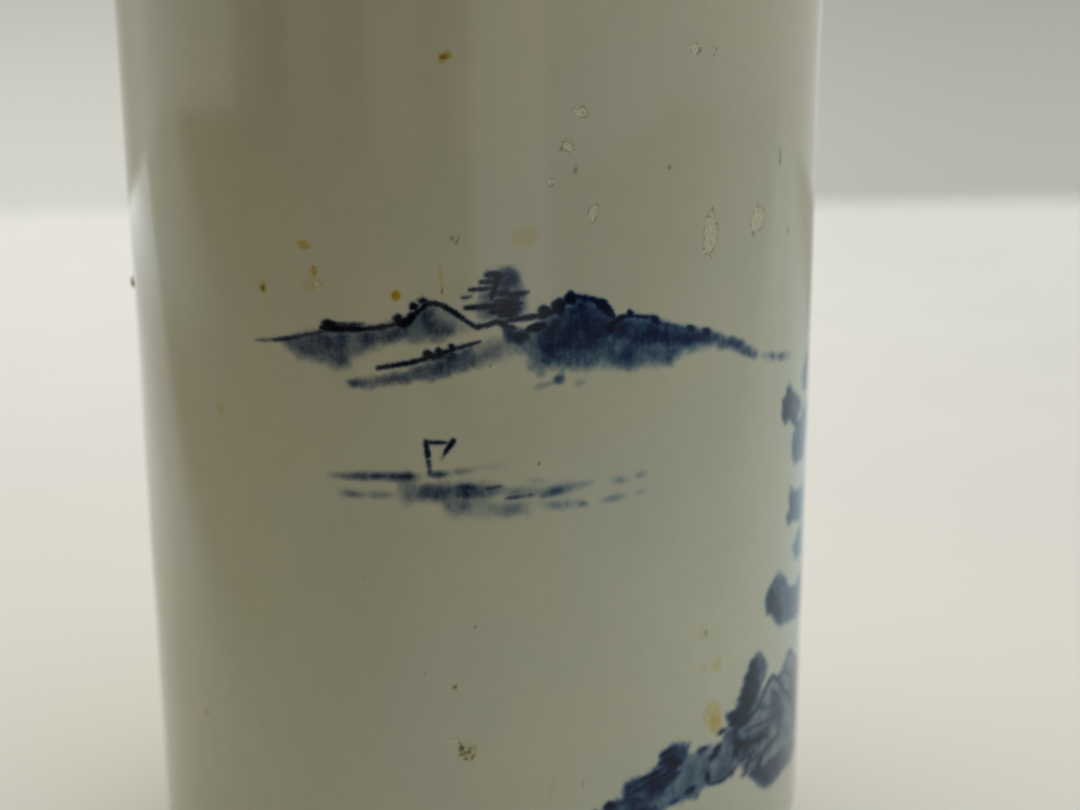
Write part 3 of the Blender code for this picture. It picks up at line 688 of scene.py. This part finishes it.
def spaced(zones):
    """Values from the first zone's start to the last one's end, each zone (start, end, step)."""
    values = []
    for start, end, step in zones:
        count = max(1, round((end - start) / step))
        values.extend(start + (end - start) * i / count for i in range(count))
    return np.array(values)


def arc(x, z, radius, start, end, count):
    """Points along an arc about (x, z), from start to end in degrees."""
    angles = np.radians(np.linspace(start, end, count))
    return [(x + radius * math.cos(t), z + radius * math.sin(t)) for t in angles]


def around(count):
    """Angles of a full turn."""
    return np.linspace(-math.pi, math.pi, count, endpoint=False)


def wall_radius(z):
    """Radius of the glazed wall's outside at height z."""
    foot = FOOT_RADIUS + (RADIUS - FOOT_RADIUS) * smooth_step((z - FOOT_TOP + 0.6) / (WALL_SLOPE + 0.8))
    rise = np.clip((z - FLARE_START) / (FLARE_LENGTH - LIP_RADIUS), 0.0, 1.0)
    return foot + FLARE * rise**2


def solid(name, rows, angles, body_slot, material, *nodes):
    """A closed solid turned about +Z: rows are (radius, height) rings in mm, in order round its profile.

    A row's radius may be one number or one for each angle. A row with no radius is a single point.
    """
    vertices = []
    starts = []
    for radius, height in rows:
        starts.append(len(vertices))
        radius = np.broadcast_to(radius, angles.shape)
        if radius.max() < 1e-6:
            vertices.append((0.0, 0.0, height * MM))
            continue
        x = radius * np.sin(angles) * MM
        y = -radius * np.cos(angles) * MM
        vertices.extend(zip(x, y, np.broadcast_to(height, angles.shape) * MM))
    count = len(angles)
    faces = []
    sizes = np.diff(starts + [len(vertices)])
    for i in range(len(rows)):
        j = (i + 1) % len(rows)
        a, b = starts[i], starts[j]
        if sizes[i] == 1 and sizes[j] == 1:
            continue
        for k in range(count):
            m = (k + 1) % count
            if sizes[i] == 1:
                faces.append((a, b + m, b + k))
            elif sizes[j] == 1:
                faces.append((a + k, a + m, b))
            else:
                faces.append((a + k, a + m, b + m, b + k))
    mesh = bpy.data.meshes.new(name)
    mesh.from_pydata(vertices, [], faces)
    mesh.shade_smooth()
    mesh.set_sharp_from_angle(angle=math.radians(SHARP_ANGLE))
    return finished(mesh, body_slot, material, *nodes)


def finished(mesh, body_slot, material, *nodes):
    """An object for a mesh, riding on the pot and wearing its material."""
    piece = bpy.data.objects.new(mesh.name, mesh)
    bpy.context.scene.collection.objects.link(piece)
    mesh.materials.append(material)
    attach(piece, "root")
    if nodes:
        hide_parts(*nodes)
    return piece


def undulation(s, z):
    """Unevenness of the thrown and trimmed wall, in mm: faint rings, and a little out of round."""
    turn = s / RADIUS
    rings = 0.012 * np.sin(z / 3.1 + 0.6 * np.sin(turn)) + 0.014 * np.sin(z / 7.3 + 1.0)
    sides = 0.030 * np.sin(3 * turn + 0.5) + 0.016 * np.sin(7 * turn + z / 30.0) + 0.008 * np.sin(17 * turn)
    fade = smooth_step((z - 10.0) / 10.0) * smooth_step((TOP - 3.0 - z) / 8.0)
    return (rings + sides) * fade


def add_field(mesh, name, grid, total):
    """A point attribute whose first values are a grid's, and which is 0 on the remaining points."""
    values = np.zeros(total, np.float32)
    flat = grid.astype(np.float32).ravel()
    values[:len(flat)] = flat
    mesh.attributes.new(name, "FLOAT", "POINT").data.foreach_set("value", values)


def painted_wall():
    """The painting, on a grid that is finest where the brushwork is."""
    s = spaced([(-HALF_TURN, -64.0, 0.9), (-64.0, -28.0, 0.6), (-28.0, 46.0, 0.21), (46.0, 64.0, 0.28),
                (64.0, 126.0, 0.42), (126.0, HALF_TURN, 0.9)])
    z = spaced([(2.6, 13.0, 0.35), (13.0, 39.0, 0.28), (39.0, 59.5, 0.36), (59.5, 70.0, 0.21),
                (70.0, 74.0, 0.5), (74.0, 88.0, 0.21), (88.0, 112.0, 0.4), (112.0, TOP - LIP_RADIUS, 0.8)])
    paint = Painting(s, z)
    for draw in (left_hill, pine, right_hill, boat_and_water, cypress, rocks, shore, far_side, flaws):
        draw(paint)
    return paint


def outer_coat(material):
    """The painted coat of glaze, from the foot's bare edge to the middle of the lip."""
    paint = painted_wall()
    s, straight = paint.s, paint.z
    angles = s / RADIUS
    bare = COAT_LOW.z + 0.12 + 0.10 * np.sin(5 * angles) + 0.08 * np.sin(11 * angles + 1)
    edge = FOOT_RADIUS - GLAZE
    surface = [(wall_radius(z) + undulation(s, z) + relief, z) for z, relief in zip(straight, paint.relief)]
    lip = arc(LIP_CENTRE, TOP - LIP_RADIUS, LIP_RADIUS, 0, 90, 22)
    under = arc(LIP_CENTRE, TOP - LIP_RADIUS, LIP_RADIUS - GLAZE, 90, 90 / 21, 6)
    back = [(wall_radius(z) - GLAZE, z) for z in np.linspace(TOP - FLARE_LENGTH / 3, 2.9, 26)]
    bead = [(edge + 0.05, bare), (edge + 0.16, bare - 0.06), (edge + 0.30, bare + 0.02),
            (edge + 0.38, bare + 0.3)]
    rows = surface + lip + under + back + bead
    mesh = solid("painted_glaze", rows, angles, "painted_glaze", material, "outer_glaze").data

    total = len(mesh.vertices)
    for name in ("stroke", "load", "wash", "iron", "flake"):
        add_field(mesh, name, getattr(paint, name), total)
    place = np.zeros((total, 3), np.float32)
    place[:paint.wash.size, 0] = np.tile(s, len(straight))
    place[:paint.wash.size, 1] = np.repeat(straight, len(s))
    mesh.attributes.new("wall", "FLOAT_VECTOR", "POINT").data.foreach_set("vector", place.ravel())


def lining(material):
    """The plain coat inside: from the middle of the lip down the well, round the cove and over the floor."""
    angles = around(288)
    lip = arc(LIP_CENTRE, TOP - LIP_RADIUS, LIP_RADIUS, 90, 180, 22)
    inner = LIP_CENTRE - LIP_RADIUS - FLARE
    heights = np.linspace(TOP - LIP_RADIUS - 1.0, WELL_FLOOR + WELL_COVE + 0.5, 110)
    rise = np.clip((heights - FLARE_START) / (FLARE_LENGTH - LIP_RADIUS), 0.0, 1.0)
    wall = []
    for z, up in zip(heights, rise):
        ripple = 0.05 * np.sin(z / 2.4 + 0.8 * np.sin(angles)) + 0.03 * np.sin(z / 5.3)
        wall.append((inner + FLARE * up**2 - 0.08 + ripple, z))
    cove_centre = inner - 0.08 - WELL_COVE
    cove = arc(cove_centre, WELL_FLOOR + WELL_COVE, WELL_COVE, 0, -90, 14)
    floor = []
    for r in np.linspace(cove_centre - 1.0, 1.0, 40):
        spiral = 0.10 * np.sin(r / 1.9 + angles) * smooth_step((r - 1.0) / 6.0)
        floor.append((r, WELL_FLOOR + 0.12 + spiral))
    middle = [(0.0, WELL_FLOOR + 0.15), (0.0, LINING_LOW.z)]
    under = [(r, LINING_LOW.z) for r in (8.0, 16.0, 24.0, 32.0)]
    heel = arc(cove_centre, WELL_FLOOR + WELL_COVE, WELL_COVE + GLAZE, -85, 0, 8)
    back = [(inner + GLAZE, z) for z in (20.0, 40.0, 60.0, 80.0, FLARE_START)]
    back += [(inner + FLARE * t**2 + GLAZE, FLARE_START + (FLARE_LENGTH - LIP_RADIUS) * t)
             for t in (0.35, 0.7, 1.0)]
    over = arc(LIP_CENTRE, TOP - LIP_RADIUS, LIP_RADIUS - GLAZE, 170, 90, 6)
    rows = lip + wall + cove + floor + middle + under + heel + back + over
    solid("well_glaze", rows, angles, "plain_glaze", material, "inner_glaze")


def recess_coat(material):
    """The coat in the recess under the floor, out to the foot ring and down its inner face."""
    angles = around(240)
    outer = BASE_HIGH.x
    ceiling = BASE_HIGH.z
    face = ceiling - GLAZE
    edge = BASE_LOW.z + 0.15 + 0.08 * np.sin(6 * angles)
    rows = [(0.0, face)]
    for r in np.linspace(1.5, outer - 2.2, 46):
        rows.append((r, face + 0.05 * np.sin(r / 1.7 + angles) * min(1.0, r / 8.0)))
    rows += arc(outer - GLAZE - 1.4, face - 1.4, 1.4, 90, 0, 10)
    rows += [(outer - GLAZE, face - 1.7), (outer - GLAZE + 0.05, edge + 0.2), (outer - 0.2, edge - 0.04),
             (outer - 0.02, edge + 0.1), (outer, edge + 0.4), (outer, ceiling - 1.0),
             (outer - 0.3, ceiling - 0.3), (outer - 1.0, ceiling), (outer / 2, ceiling), (0.0, ceiling)]
    solid("recess_glaze", rows, angles, "plain_glaze", material, "base_glaze")


def foot(material):
    """The bare foot ring, with worn edges and the faint rings of the turning tool."""
    angles = around(288)
    outer = RING_HIGH.x
    inner = BASE_HIGH.x + SEAM
    worn = 0.02 * np.sin(9 * angles) + 0.02 * np.sin(23 * angles + 1) + 0.015 * np.sin(41 * angles)
    rows = [(outer, FOOT_TOP), (outer, 3.5), (outer, 2.2)]
    rows += [(outer - 0.9 + 0.9 * math.cos(t) + worn, 0.9 - 0.9 * math.sin(t))
             for t in np.linspace(0, 1.5, 9)]
    rows += [(r, 0.012 + 0.012 * math.cos(r * 9.0)) for r in np.linspace(outer - 1.0, inner + 1.0, 26)]
    rows += [(inner + 0.9 - 0.9 * math.sin(t) - worn, 0.9 - 0.9 * math.cos(t))
             for t in np.linspace(0.1, 1.57, 9)]
    rows += [(inner, 2.2), (inner, 3.5), (inner, FOOT_TOP)]
    solid("bare_foot_ring", rows[::-1], angles, "bare_foot", material, "foot_ring")


def grit(material):
    """Lumps of kiln grit that fell on the wet glaze and fused to it."""
    rng = np.random.default_rng(11)
    places = [(-60.8, 81.6, 0.45), (-61.6, 82.0, 0.34), (-60.0, 81.9, 0.30), (-59.6, 81.3, 0.26),
              (-1.5, 32.5, 0.16), (-2.1, 31.9, 0.18), (-1.3, 31.4, 0.14), (-2.6, 33.0, 0.12)]
    for _ in range(10):
        places.append((rng.uniform(66.0, 135.0), rng.uniform(12.0, 120.0), rng.uniform(0.12, 0.3)))
    lumps = bmesh.new()
    for s, z, size in places:
        before = len(lumps.verts)
        bmesh.ops.create_icosphere(lumps, subdivisions=2, radius=size * MM)
        lumps.verts.ensure_lookup_table()
        turn = s / RADIUS
        radius = (wall_radius(z) + undulation(s, z) - 0.25 * size) * MM
        centre = Vector((radius * math.sin(turn), -radius * math.cos(turn), z * MM))
        for vertex in lumps.verts[before:]:
            wobble = 1.0 + 0.22 * math.sin(vertex.co.x / MM * 9 + s) * math.cos(vertex.co.z / MM * 11 + z)
            vertex.co = centre + vertex.co * wobble
    mesh = bpy.data.meshes.new("kiln_grit")
    lumps.to_mesh(mesh)
    lumps.free()
    mesh.shade_smooth()
    finished(mesh, "painted_glaze", material)


# ---------------------------------------------------------------- materials


class Shader:
    """Short names for building a material's nodes."""

    def __init__(self, name, world=False):
        self.owner = bpy.data.worlds.new(name) if world else bpy.data.materials.new(name)
        self.owner.use_nodes = True
        self.nodes = self.owner.node_tree.nodes

    def link(self, value, socket):
        if isinstance(value, bpy.types.NodeSocket):
            self.owner.node_tree.links.new(value, socket)
        elif isinstance(value, tuple) and socket.type == "RGBA":
            socket.default_value = (*value, 1.0)
        else:
            socket.default_value = value

    def math(self, operation, a, b=0.0):
        node = self.nodes.new("ShaderNodeMath")
        node.operation = operation
        self.link(a, node.inputs[0])
        self.link(b, node.inputs[1])
        return node.outputs[0]

    def times(self, *values):
        """The product of some numbers."""
        product = values[0]
        for value in values[1:]:
            product = self.math("MULTIPLY", product, value)
        return product

    def nudged(self, value, by, amount):
        """A value moved up or down as another one lies above or below 0.5."""
        return self.math("ADD", value, self.times(self.math("SUBTRACT", by, 0.5), amount))

    def vector(self, operation, a, b):
        node = self.nodes.new("ShaderNodeVectorMath")
        node.operation = operation
        self.link(a, node.inputs[0])
        self.link(b, node.inputs["Scale"] if operation == "SCALE" else node.inputs[1])
        return node.outputs[0]

    def field(self, name, output="Fac"):
        node = self.nodes.new("ShaderNodeAttribute")
        node.attribute_name = name
        return node.outputs[output]

    def noise(self, place, scale, detail=3.0, roughness=0.5, stretch=None):
        """Soft random values from 0 to 1; stretch scales them along the three axes."""
        node = self.nodes.new("ShaderNodeTexNoise")
        self.link(self.vector("MULTIPLY", place, stretch) if stretch else place, node.inputs["Vector"])
        node.inputs["Scale"].default_value = scale
        node.inputs["Detail"].default_value = detail
        node.inputs["Roughness"].default_value = roughness
        return node.outputs["Fac"]

    def range(self, value, low, high, to_low=0.0, to_high=1.0):
        """A smooth step from to_low, where the value is low, to to_high, where it is high."""
        node = self.nodes.new("ShaderNodeMapRange")
        node.interpolation_type = "SMOOTHSTEP"
        for socket, number in zip(node.inputs, (value, low, high, to_low, to_high)):
            self.link(number, socket)
        return node.outputs["Result"]

    def mix(self, factor, a, b):
        node = self.nodes.new("ShaderNodeMix")
        node.data_type = "RGBA"
        self.link(factor, node.inputs[0])
        self.link(a, node.inputs[6])
        self.link(b, node.inputs[7])
        return node.outputs[2]

    def split(self, vector):
        node = self.nodes.new("ShaderNodeSeparateXYZ")
        self.link(vector, node.inputs[0])
        return node.outputs

    def join(self, x, y, z):
        node = self.nodes.new("ShaderNodeCombineXYZ")
        for socket, value in zip(node.inputs, (x, y, z)):
            self.link(value, socket)
        return node.outputs[0]

    def place(self):
        """Position on the object, in mm."""
        node = self.nodes.new("ShaderNodeTexCoord")
        return self.vector("SCALE", node.outputs["Object"], 1 / MM)

    def bump(self, height, strength, distance):
        node = self.nodes.new("ShaderNodeBump")
        self.link(height, node.inputs["Height"])
        self.link(strength, node.inputs["Strength"])
        node.inputs["Distance"].default_value = distance * MM
        return node.outputs["Normal"]

    def finish(self, **inputs):
        """Sets the Principled shader's inputs, given by name with _ for a space."""
        shader = self.nodes["Principled BSDF"]
        for name, value in inputs.items():
            self.link(value, shader.inputs[name.replace("_", " ")])
        return self.owner


def tinted(colour, *gains):
    """A colour times one gain, or times one for each of red, green and blue."""
    return tuple(float(channel) for channel in np.multiply(colour, gains))


def glaze_ground(shader, place):
    """Colour of the bare glaze: slightly mottled greenish white, with fine dark specks."""
    cloud = shader.range(shader.noise(place, 0.055, detail=4.0), 0.35, 0.65)
    tint = shader.mix(cloud, GLAZE_TINT, tinted(GLAZE_TINT, 1.05, 1.03, 0.99))
    fine = shader.range(shader.noise(place, 0.5, detail=2.0), 0.3, 0.7, 0.0, 0.25)
    tint = shader.mix(fine, tint, tinted(GLAZE_TINT, 0.92))
    specks = shader.nodes.new("ShaderNodeTexVoronoi")
    shader.link(place, specks.inputs["Vector"])
    specks.inputs["Scale"].default_value = 0.16
    speck = shader.range(specks.outputs["Distance"], 0.018, 0.034, 0.55, 0.0)
    return shader.mix(speck, tint, (0.30, 0.24, 0.15))


def thin_rim(shader, place, colour):
    """The colour with a brown rim, where the glaze runs thin over the lip."""
    rim = shader.range(shader.split(place)[2], TOP - 1.0, TOP, 0.0, 0.5)
    return shader.mix(rim, colour, RIM_TINT)


def absorbed(shader, colour, losses):
    """The colour after light has passed through pigments: (loss for red, green and blue, density) pairs."""
    total = None
    for loss, density in losses:
        part = shader.vector("SCALE", loss, density)
        total = part if total is None else shader.vector("ADD", total, part)
    left = [shader.math("EXPONENT", shader.times(channel, -1.0)) for channel in shader.split(total)]
    return shader.vector("MULTIPLY", colour, shader.join(*left))


def brush_lines(shader, wall):
    """Density of the lines, whose edges waver and whose brush drags dry, and of the halo round them."""
    stroke, load = shader.field("stroke"), shader.field("load")
    edge = shader.nudged(stroke, shader.noise(wall, 2.2, detail=4.0, roughness=0.6), 0.34)
    cover = shader.math("POWER", shader.range(edge, 0.18, 0.95), 1.3)
    drag = shader.noise(wall, 1.3, detail=4.0, roughness=0.6, stretch=(0.7, 2.2, 1.0))
    drag = shader.nudged(drag, load, 0.6)
    pigment = shader.times(load, shader.range(drag, 0.28, 0.66, 0.35, 1.05))
    halo = shader.times(shader.range(edge, -0.05, 0.6), shader.times(load, 0.9))
    return shader.times(cover, pigment, 6.0), halo


def settled_wash(shader, wall):
    """Density of the washes, which settle in clouds, grains and a few vertical runs."""
    cloud = shader.range(shader.noise(wall, 0.55), 0.3, 0.7, 0.72, 1.25)
    grain = shader.range(shader.noise(wall, 2.4, roughness=0.6), 0.25, 0.75, 0.86, 1.14)
    run = shader.range(shader.noise(wall, 1.0, stretch=(0.55, 0.14, 1.0)), 0.3, 0.7, 0.84, 1.16)
    hairs = shader.noise(wall, 1.0, detail=4.0, stretch=(2.0, 0.5, 1.0))
    run = shader.times(run, shader.range(hairs, 0.3, 0.7, 0.90, 1.10))
    wash = shader.times(shader.field("wash"), 1.25)
    return shader.times(wash, shader.times(grain, cloud), run)


def crawled_patches(shader, wall):
    """How far the glaze is flaky, and how dirty, in patches with a broken edge and a speckled middle."""
    crumb = shader.noise(wall, 2.6, detail=4.0, roughness=0.65)
    ragged = shader.nudged(shader.field("flake"), crumb, 0.5)
    flaky = shader.times(shader.range(ragged, 0.46, 0.56), shader.range(crumb, 0.42, 0.56, 0.0, 0.6))
    crust = shader.times(shader.range(ragged, 0.38, 0.50), shader.range(ragged, 0.62, 0.50),
                         shader.range(shader.noise(wall, 1.6), 0.38, 0.62, 0.0, 0.8))
    return flaky, crust


def painted_material():
    """Clear glossy glaze over cobalt brushwork, iron specks and crawled patches."""
    shader = Shader("painted_glaze")
    place = shader.place()
    wall = shader.field("wall", "Vector")
    line, halo = brush_lines(shader, wall)
    pool = settled_wash(shader, wall)
    flaky, crust = crawled_patches(shader, wall)
    rusty = shader.times(shader.field("iron"), shader.range(shader.noise(wall, 2.2), 0.3, 0.7, 0.5, 1.4))

    # painted light: the wall is made lighter and cooler low down and darker and warmer towards the top,
    # standing in for light bounced up from the table
    height_tint = shader.range(shader.split(place)[2], 25.0, 115.0)
    ground = shader.mix(height_tint, (1.05, 1.07, 1.05), (0.95, 0.90, 0.82))
    ground = shader.vector("MULTIPLY", glaze_ground(shader, place), ground)
    ground = shader.mix(flaky, ground, (0.62, 0.58, 0.41))
    ground = shader.mix(crust, ground, (0.17, 0.16, 0.11))

    along = shader.split(wall)[0]
    bluer = shader.range(along, -4.0, 14.0)
    ashore = shader.range(along, 26.0, 36.0)
    wash_tint = shader.mix(ashore, shader.mix(bluer, INKY_WASH, BLUE_WASH), SHORE_WASH)
    colour = absorbed(shader, ground, [
        (shader.mix(bluer, INKY_LINE, BLUE_LINE), line),
        (wash_tint, shader.math("ADD", pool, halo)),
        (IRON, rusty)])

    rough = shader.math("ADD", shader.range(flaky, 0.0, 1.0, 0.07, 0.42),
                        shader.range(rusty, 0.3, 1.5, 0.0, 0.12))
    height = shader.times(shader.math("ADD", flaky, crust), 0.6)
    height = shader.math("ADD", shader.noise(place, 0.9, detail=2.0), height)
    return shader.finish(Base_Color=thin_rim(shader, place, colour), Roughness=rough,
                         Specular_IOR_Level=GLAZE_SHINE, Normal=shader.bump(height, 0.25, 0.02))


def plain_material():
    """The same glaze with no painting, a little greener where it pools at the bottom of the well."""
    shader = Shader("plain_glaze")
    place = shader.place()
    height_tint = shader.range(shader.split(place)[2], WELL_FLOOR, WELL_FLOOR + 8.0, 0.35, 0.0)
    colour = shader.mix(height_tint, glaze_ground(shader, place), (0.46, 0.51, 0.42))
    bump = shader.bump(shader.noise(place, 0.9, detail=2.0), 0.25, 0.02)
    return shader.finish(Base_Color=thin_rim(shader, place, colour), Roughness=0.08,
                         Specular_IOR_Level=GLAZE_SHINE, Normal=bump)


def clay_material(name, tint, burnt):
    """Bare fired clay: sandy grain, burnt orange patches, dirt in the pores."""
    shader = Shader(name)
    place = shader.place()
    grain = shader.noise(place, 3.0, detail=5.0, roughness=0.7)
    colour = shader.mix(shader.range(grain, 0.3, 0.7), tinted(tint, 0.8), tint)
    patch = shader.range(shader.noise(place, 0.15, detail=4.0), 0.4, 0.7, 0.0, burnt)
    colour = shader.mix(patch, colour, (0.45, 0.27, 0.13))
    dirt = shader.range(shader.noise(place, 1.1, detail=6.0, roughness=0.75), 0.58, 0.72, 0.0, 0.6)
    colour = shader.mix(dirt, colour, (0.17, 0.13, 0.09))
    return shader.finish(Base_Color=colour, Roughness=0.85, Normal=shader.bump(grain, 0.5, 0.06))


def grit_material():
    """Fused grit: rough orange-brown with darker pores."""
    shader = Shader("kiln_grit")
    grain = shader.noise(shader.place(), 5.0, detail=4.0, roughness=0.7)
    colour = shader.mix(shader.range(grain, 0.35, 0.65), (0.16, 0.11, 0.05), (0.42, 0.33, 0.17))
    return shader.finish(Base_Color=colour, Roughness=0.6, Normal=shader.bump(grain, 0.6, 0.05))


# ---------------------------------------------------------------- studio


def window_behind(shader, x, y):
    """How much of the window behind the viewer lies towards (x, y)."""
    slant = shader.math("DIVIDE", x, y)
    return shader.times(shader.range(slant, 0.06, -0.04), shader.range(slant, -0.50, -0.36))


def table_in_front(shader, place, mirrored):
    """The table on the viewer's side as the pot sees it: painted shade to the left and painted light to the
    right, and a painted reflection of a dark room with a window.
    """
    x, y, _ = shader.split(place)
    right = shader.range(x, -70.0, 130.0)
    # painted shade and light for the pot's diffuse rays: dark and warm to the left, bright and cool to the
    # right
    dim = shader.mix(right, (0.22, 0.18, 0.09), (0.87, 0.96, 1.00))
    # painted reflection: a dark room with lit things in it, and a white window behind the viewer
    room = shader.mix(right, (0.03, 0.025, 0.01), (0.03, 0.05, 0.055))
    things = shader.noise(place, 1.0, detail=2.0, roughness=0.4, stretch=(0.012, 0.005, 0.0))
    lit_things = shader.mix(right, (0.34, 0.26, 0.17), (0.30, 0.32, 0.30))
    room = shader.mix(shader.range(things, 0.49, 0.53), room, lit_things)
    glow = shader.times(window_behind(shader, x, y), shader.range(y, -300.0, -650.0))
    return shader.mix(mirrored, dim, shader.mix(glow, room, (1.00, 1.00, 1.00)))


def table_at_right(shader, x, y):
    """The table's right side as the glaze mirrors it: a painted reflection in bands of painted light and
    shade that run from far to near, darker close to the pot.
    """
    band = shader.math("SUBTRACT", y, shader.times(x, 0.6))
    colour = shader.mix(shader.range(band, 60.0, 300.0), (0.66, 0.80, 0.86), (0.36, 0.37, 0.34))
    colour = shader.mix(shader.range(band, -130.0, -20.0), (0.85, 1.00, 1.00), colour)
    colour = shader.mix(shader.range(band, -260.0, -100.0), (0.42, 0.56, 0.74), colour)
    return shader.mix(shader.range(x, 40.0, 130.0), (0.34, 0.38, 0.40), colour)


def table_material():
    """A plain pale matt table top, with painted shade towards the viewer and to the right, and painted light
    and shade from outside the picture in its mirror image and in what the pot sees of it.
    """
    shader = Shader("table_top")
    place = shader.place()
    x, y, _ = shader.split(place)
    path = shader.nodes.new("ShaderNodeLightPath")
    mirrored = path.outputs["Is Glossy Ray"]
    patchy = shader.range(shader.noise(place, 0.02), 0.3, 0.7)
    colour = shader.mix(patchy, (0.82, 0.81, 0.78), (0.85, 0.84, 0.81))
    # painted shade: the table top is made darker and warmer towards the viewer, and a little darker to the
    # right
    colour = shader.mix(shader.range(y, 500.0, -20.0), colour, (0.75, 0.73, 0.67))
    colour = shader.mix(shader.range(x, 40.0, 260.0, 0.0, 0.16), colour, (0.3, 0.33, 0.3))
    # painted reflection: where the glaze mirrors the table's right side it sees bands of painted light and
    # shade
    right = shader.times(mirrored, shader.range(x, 20.0, 120.0, 0.0, 0.95))
    colour = shader.mix(right, colour, table_at_right(shader, x, y))
    # painted reflection: a white painted highlight where the glaze mirrors the table far to the left
    left = shader.times(mirrored, shader.range(x, -95.0, -200.0))
    colour = shader.mix(left, colour, (1.00, 1.00, 1.00))
    # painted glow: far off to the left the table glows pale blue-green, but only in the glaze's mirror image
    far = shader.range(shader.math("ADD", y, shader.times(x, 0.35)), -350.0, -50.0)
    far_left = shader.times(far, shader.range(x, -300.0, -600.0))
    shine = shader.mix(shader.times(left, far_left), (0.0, 0.0, 0.0), (0.55, 0.68, 0.66))
    # painted reflection: dark warm painted shade where the glaze mirrors the table on the viewer's side, to
    # the left
    near = shader.range(shader.math("ADD", y, shader.times(x, 0.87)), -110.0, -190.0)
    near_left = shader.times(mirrored, shader.range(x, -30.0, -60.0), near)
    colour = shader.mix(near_left, colour, (0.36, 0.31, 0.24))
    # painted light and shade: rays other than the camera's see the table on the viewer's side in the colours
    # of table_in_front, not its own
    unseen = shader.math("SUBTRACT", 1.0, path.outputs["Is Camera Ray"])
    unseen = shader.times(shader.range(y, -80.0, -330.0), unseen)
    colour = shader.mix(unseen, colour, table_in_front(shader, place, mirrored))
    return shader.finish(Base_Color=colour, Roughness=0.7, Specular_IOR_Level=0.2,
                         Emission_Color=shine, Emission_Strength=1.0)


def table():
    """The table that the pot stands on, 4.4 m by 1.9 m."""
    mesh = bpy.data.meshes.new("table_top")
    plane = bmesh.new()
    bmesh.ops.create_grid(plane, x_segments=1, y_segments=1, size=1.0)
    for vertex in plane.verts:
        vertex.co = Vector((vertex.co.x * 2.2, vertex.co.y * 0.95 - 0.10, 0.0))
    plane.to_mesh(mesh)
    plane.free()
    mesh.materials.append(table_material())
    top = bpy.data.objects.new("table_top", mesh)
    bpy.context.scene.collection.objects.link(top)


def studio_light():
    """Soft light from overhead and from behind the pot, and a dim warm room on the viewer's side."""
    shader = Shader("studio", world=True)
    direction = shader.nodes.new("ShaderNodeTexCoord").outputs["Generated"]
    x, y, z = shader.split(direction)
    path = shader.nodes.new("ShaderNodeLightPath")
    mirrored = path.outputs["Is Glossy Ray"]
    room = shader.mix(shader.range(x, -0.15, 0.75), (0.02, 0.01, 0.0), (0.60, 0.68, 0.83))
    back = shader.mix(shader.range(x, -0.9, 0.9), (0.64, 0.62, 0.56), (0.66, 0.68, 0.68))
    light = shader.mix(shader.range(y, -0.30, 0.75), room, back)
    overhead = shader.range(shader.math("ADD", z, shader.times(y, 0.45)), 0.35, 1.0)
    light = shader.mix(overhead, light, (1.40, 1.38, 1.30))

    # things in the room and two windows, which only show mirrored in the glaze
    things = shader.noise(direction, 2.0, detail=2.0, roughness=0.4, stretch=(1.6, 1.6, 0.25))
    things = shader.times(shader.range(things, 0.47, 0.51), shader.range(y, 0.2, -0.1))
    things = shader.times(things, shader.times(mirrored, shader.range(x, 0.5, -0.3, 0.1, 0.6)))
    light = shader.mix(things, light, (0.66, 0.52, 0.38))
    window = shader.times(shader.range(x, -0.5, -0.75), shader.range(y, -0.36, -0.12),
                          shader.range(y, 0.85, 0.5))
    light = shader.mix(shader.times(window, mirrored), light, (1.15, 1.28, 1.22))
    glow = shader.times(window_behind(shader, x, y), shader.range(y, -0.2, -0.5), mirrored)
    light = shader.mix(glow, light, (1.10, 1.05, 1.00))

    # the backdrop that the camera sees, paler towards the table
    rise = shader.range(z, -0.1, 0.16)
    left = shader.mix(rise, (0.66, 0.66, 0.60), (0.38, 0.38, 0.32))
    right = shader.mix(rise, (0.47, 0.48, 0.42), (0.32, 0.32, 0.28))
    backdrop = shader.mix(shader.range(x, -0.25, 0.35), left, right)
    seen = shader.mix(path.outputs["Is Camera Ray"], light, backdrop)
    shader.link(seen, shader.nodes["Background"].inputs["Color"])
    bpy.context.scene.world = shader.owner


def camera():
    """A near view from a little above. Its focus is the nearest part of the wall, wherever it stands."""
    data = bpy.data.cameras.new("camera")
    data.lens = LENS
    data.sensor_width = 36.0
    data.sensor_fit = "HORIZONTAL"
    data.clip_start = 0.005
    eye = bpy.data.objects.new("camera", data)
    centre = bpy.data.objects.new("focus_centre", None)
    centre.location = (0.0, 0.0, FOCUS_CENTRE * MM)
    focus = bpy.data.objects.new("focus", None)
    for thing in (eye, centre, focus):
        bpy.context.scene.collection.objects.link(thing)
    upright = Euler((math.radians(90.0 - CAMERA_PITCH), 0.0, math.radians(-CAMERA_YAW))).to_matrix()
    tilt = Matrix.Rotation(math.radians(CAMERA_ROLL), 3, "Z")
    place = Matrix.Translation((0.0, -CAMERA_AWAY * MM, CAMERA_HEIGHT * MM))
    eye.matrix_world = place @ (upright @ tilt).to_4x4()
    bpy.context.scene.camera = eye

    follow = focus.constraints.new("COPY_LOCATION")
    follow.target = eye
    hold = focus.constraints.new("LIMIT_DISTANCE")
    hold.target = centre
    hold.distance = RADIUS * MM
    hold.limit_mode = "LIMITDIST_INSIDE"
    data.dof.use_dof = True
    data.dof.focus_object = focus
    data.dof.aperture_fstop = APERTURE


def main():
    bpy.context.scene.view_settings.view_transform = "Standard"
    glaze = plain_material()
    outer_coat(painted_material())
    lining(glaze)
    recess_coat(glaze)
    foot(clay_material("bare_foot", CLAY_TINT, 0.7))
    grit(grit_material())
    biscuit = clay_material("clay_body", tinted(CLAY_TINT, 1.15), 0.1)
    for name in ("wall_body", "floor_disc"):
        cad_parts[name].data.materials.clear()
        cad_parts[name].data.materials.append(biscuit)
    table()
    studio_light()
    camera()


main()
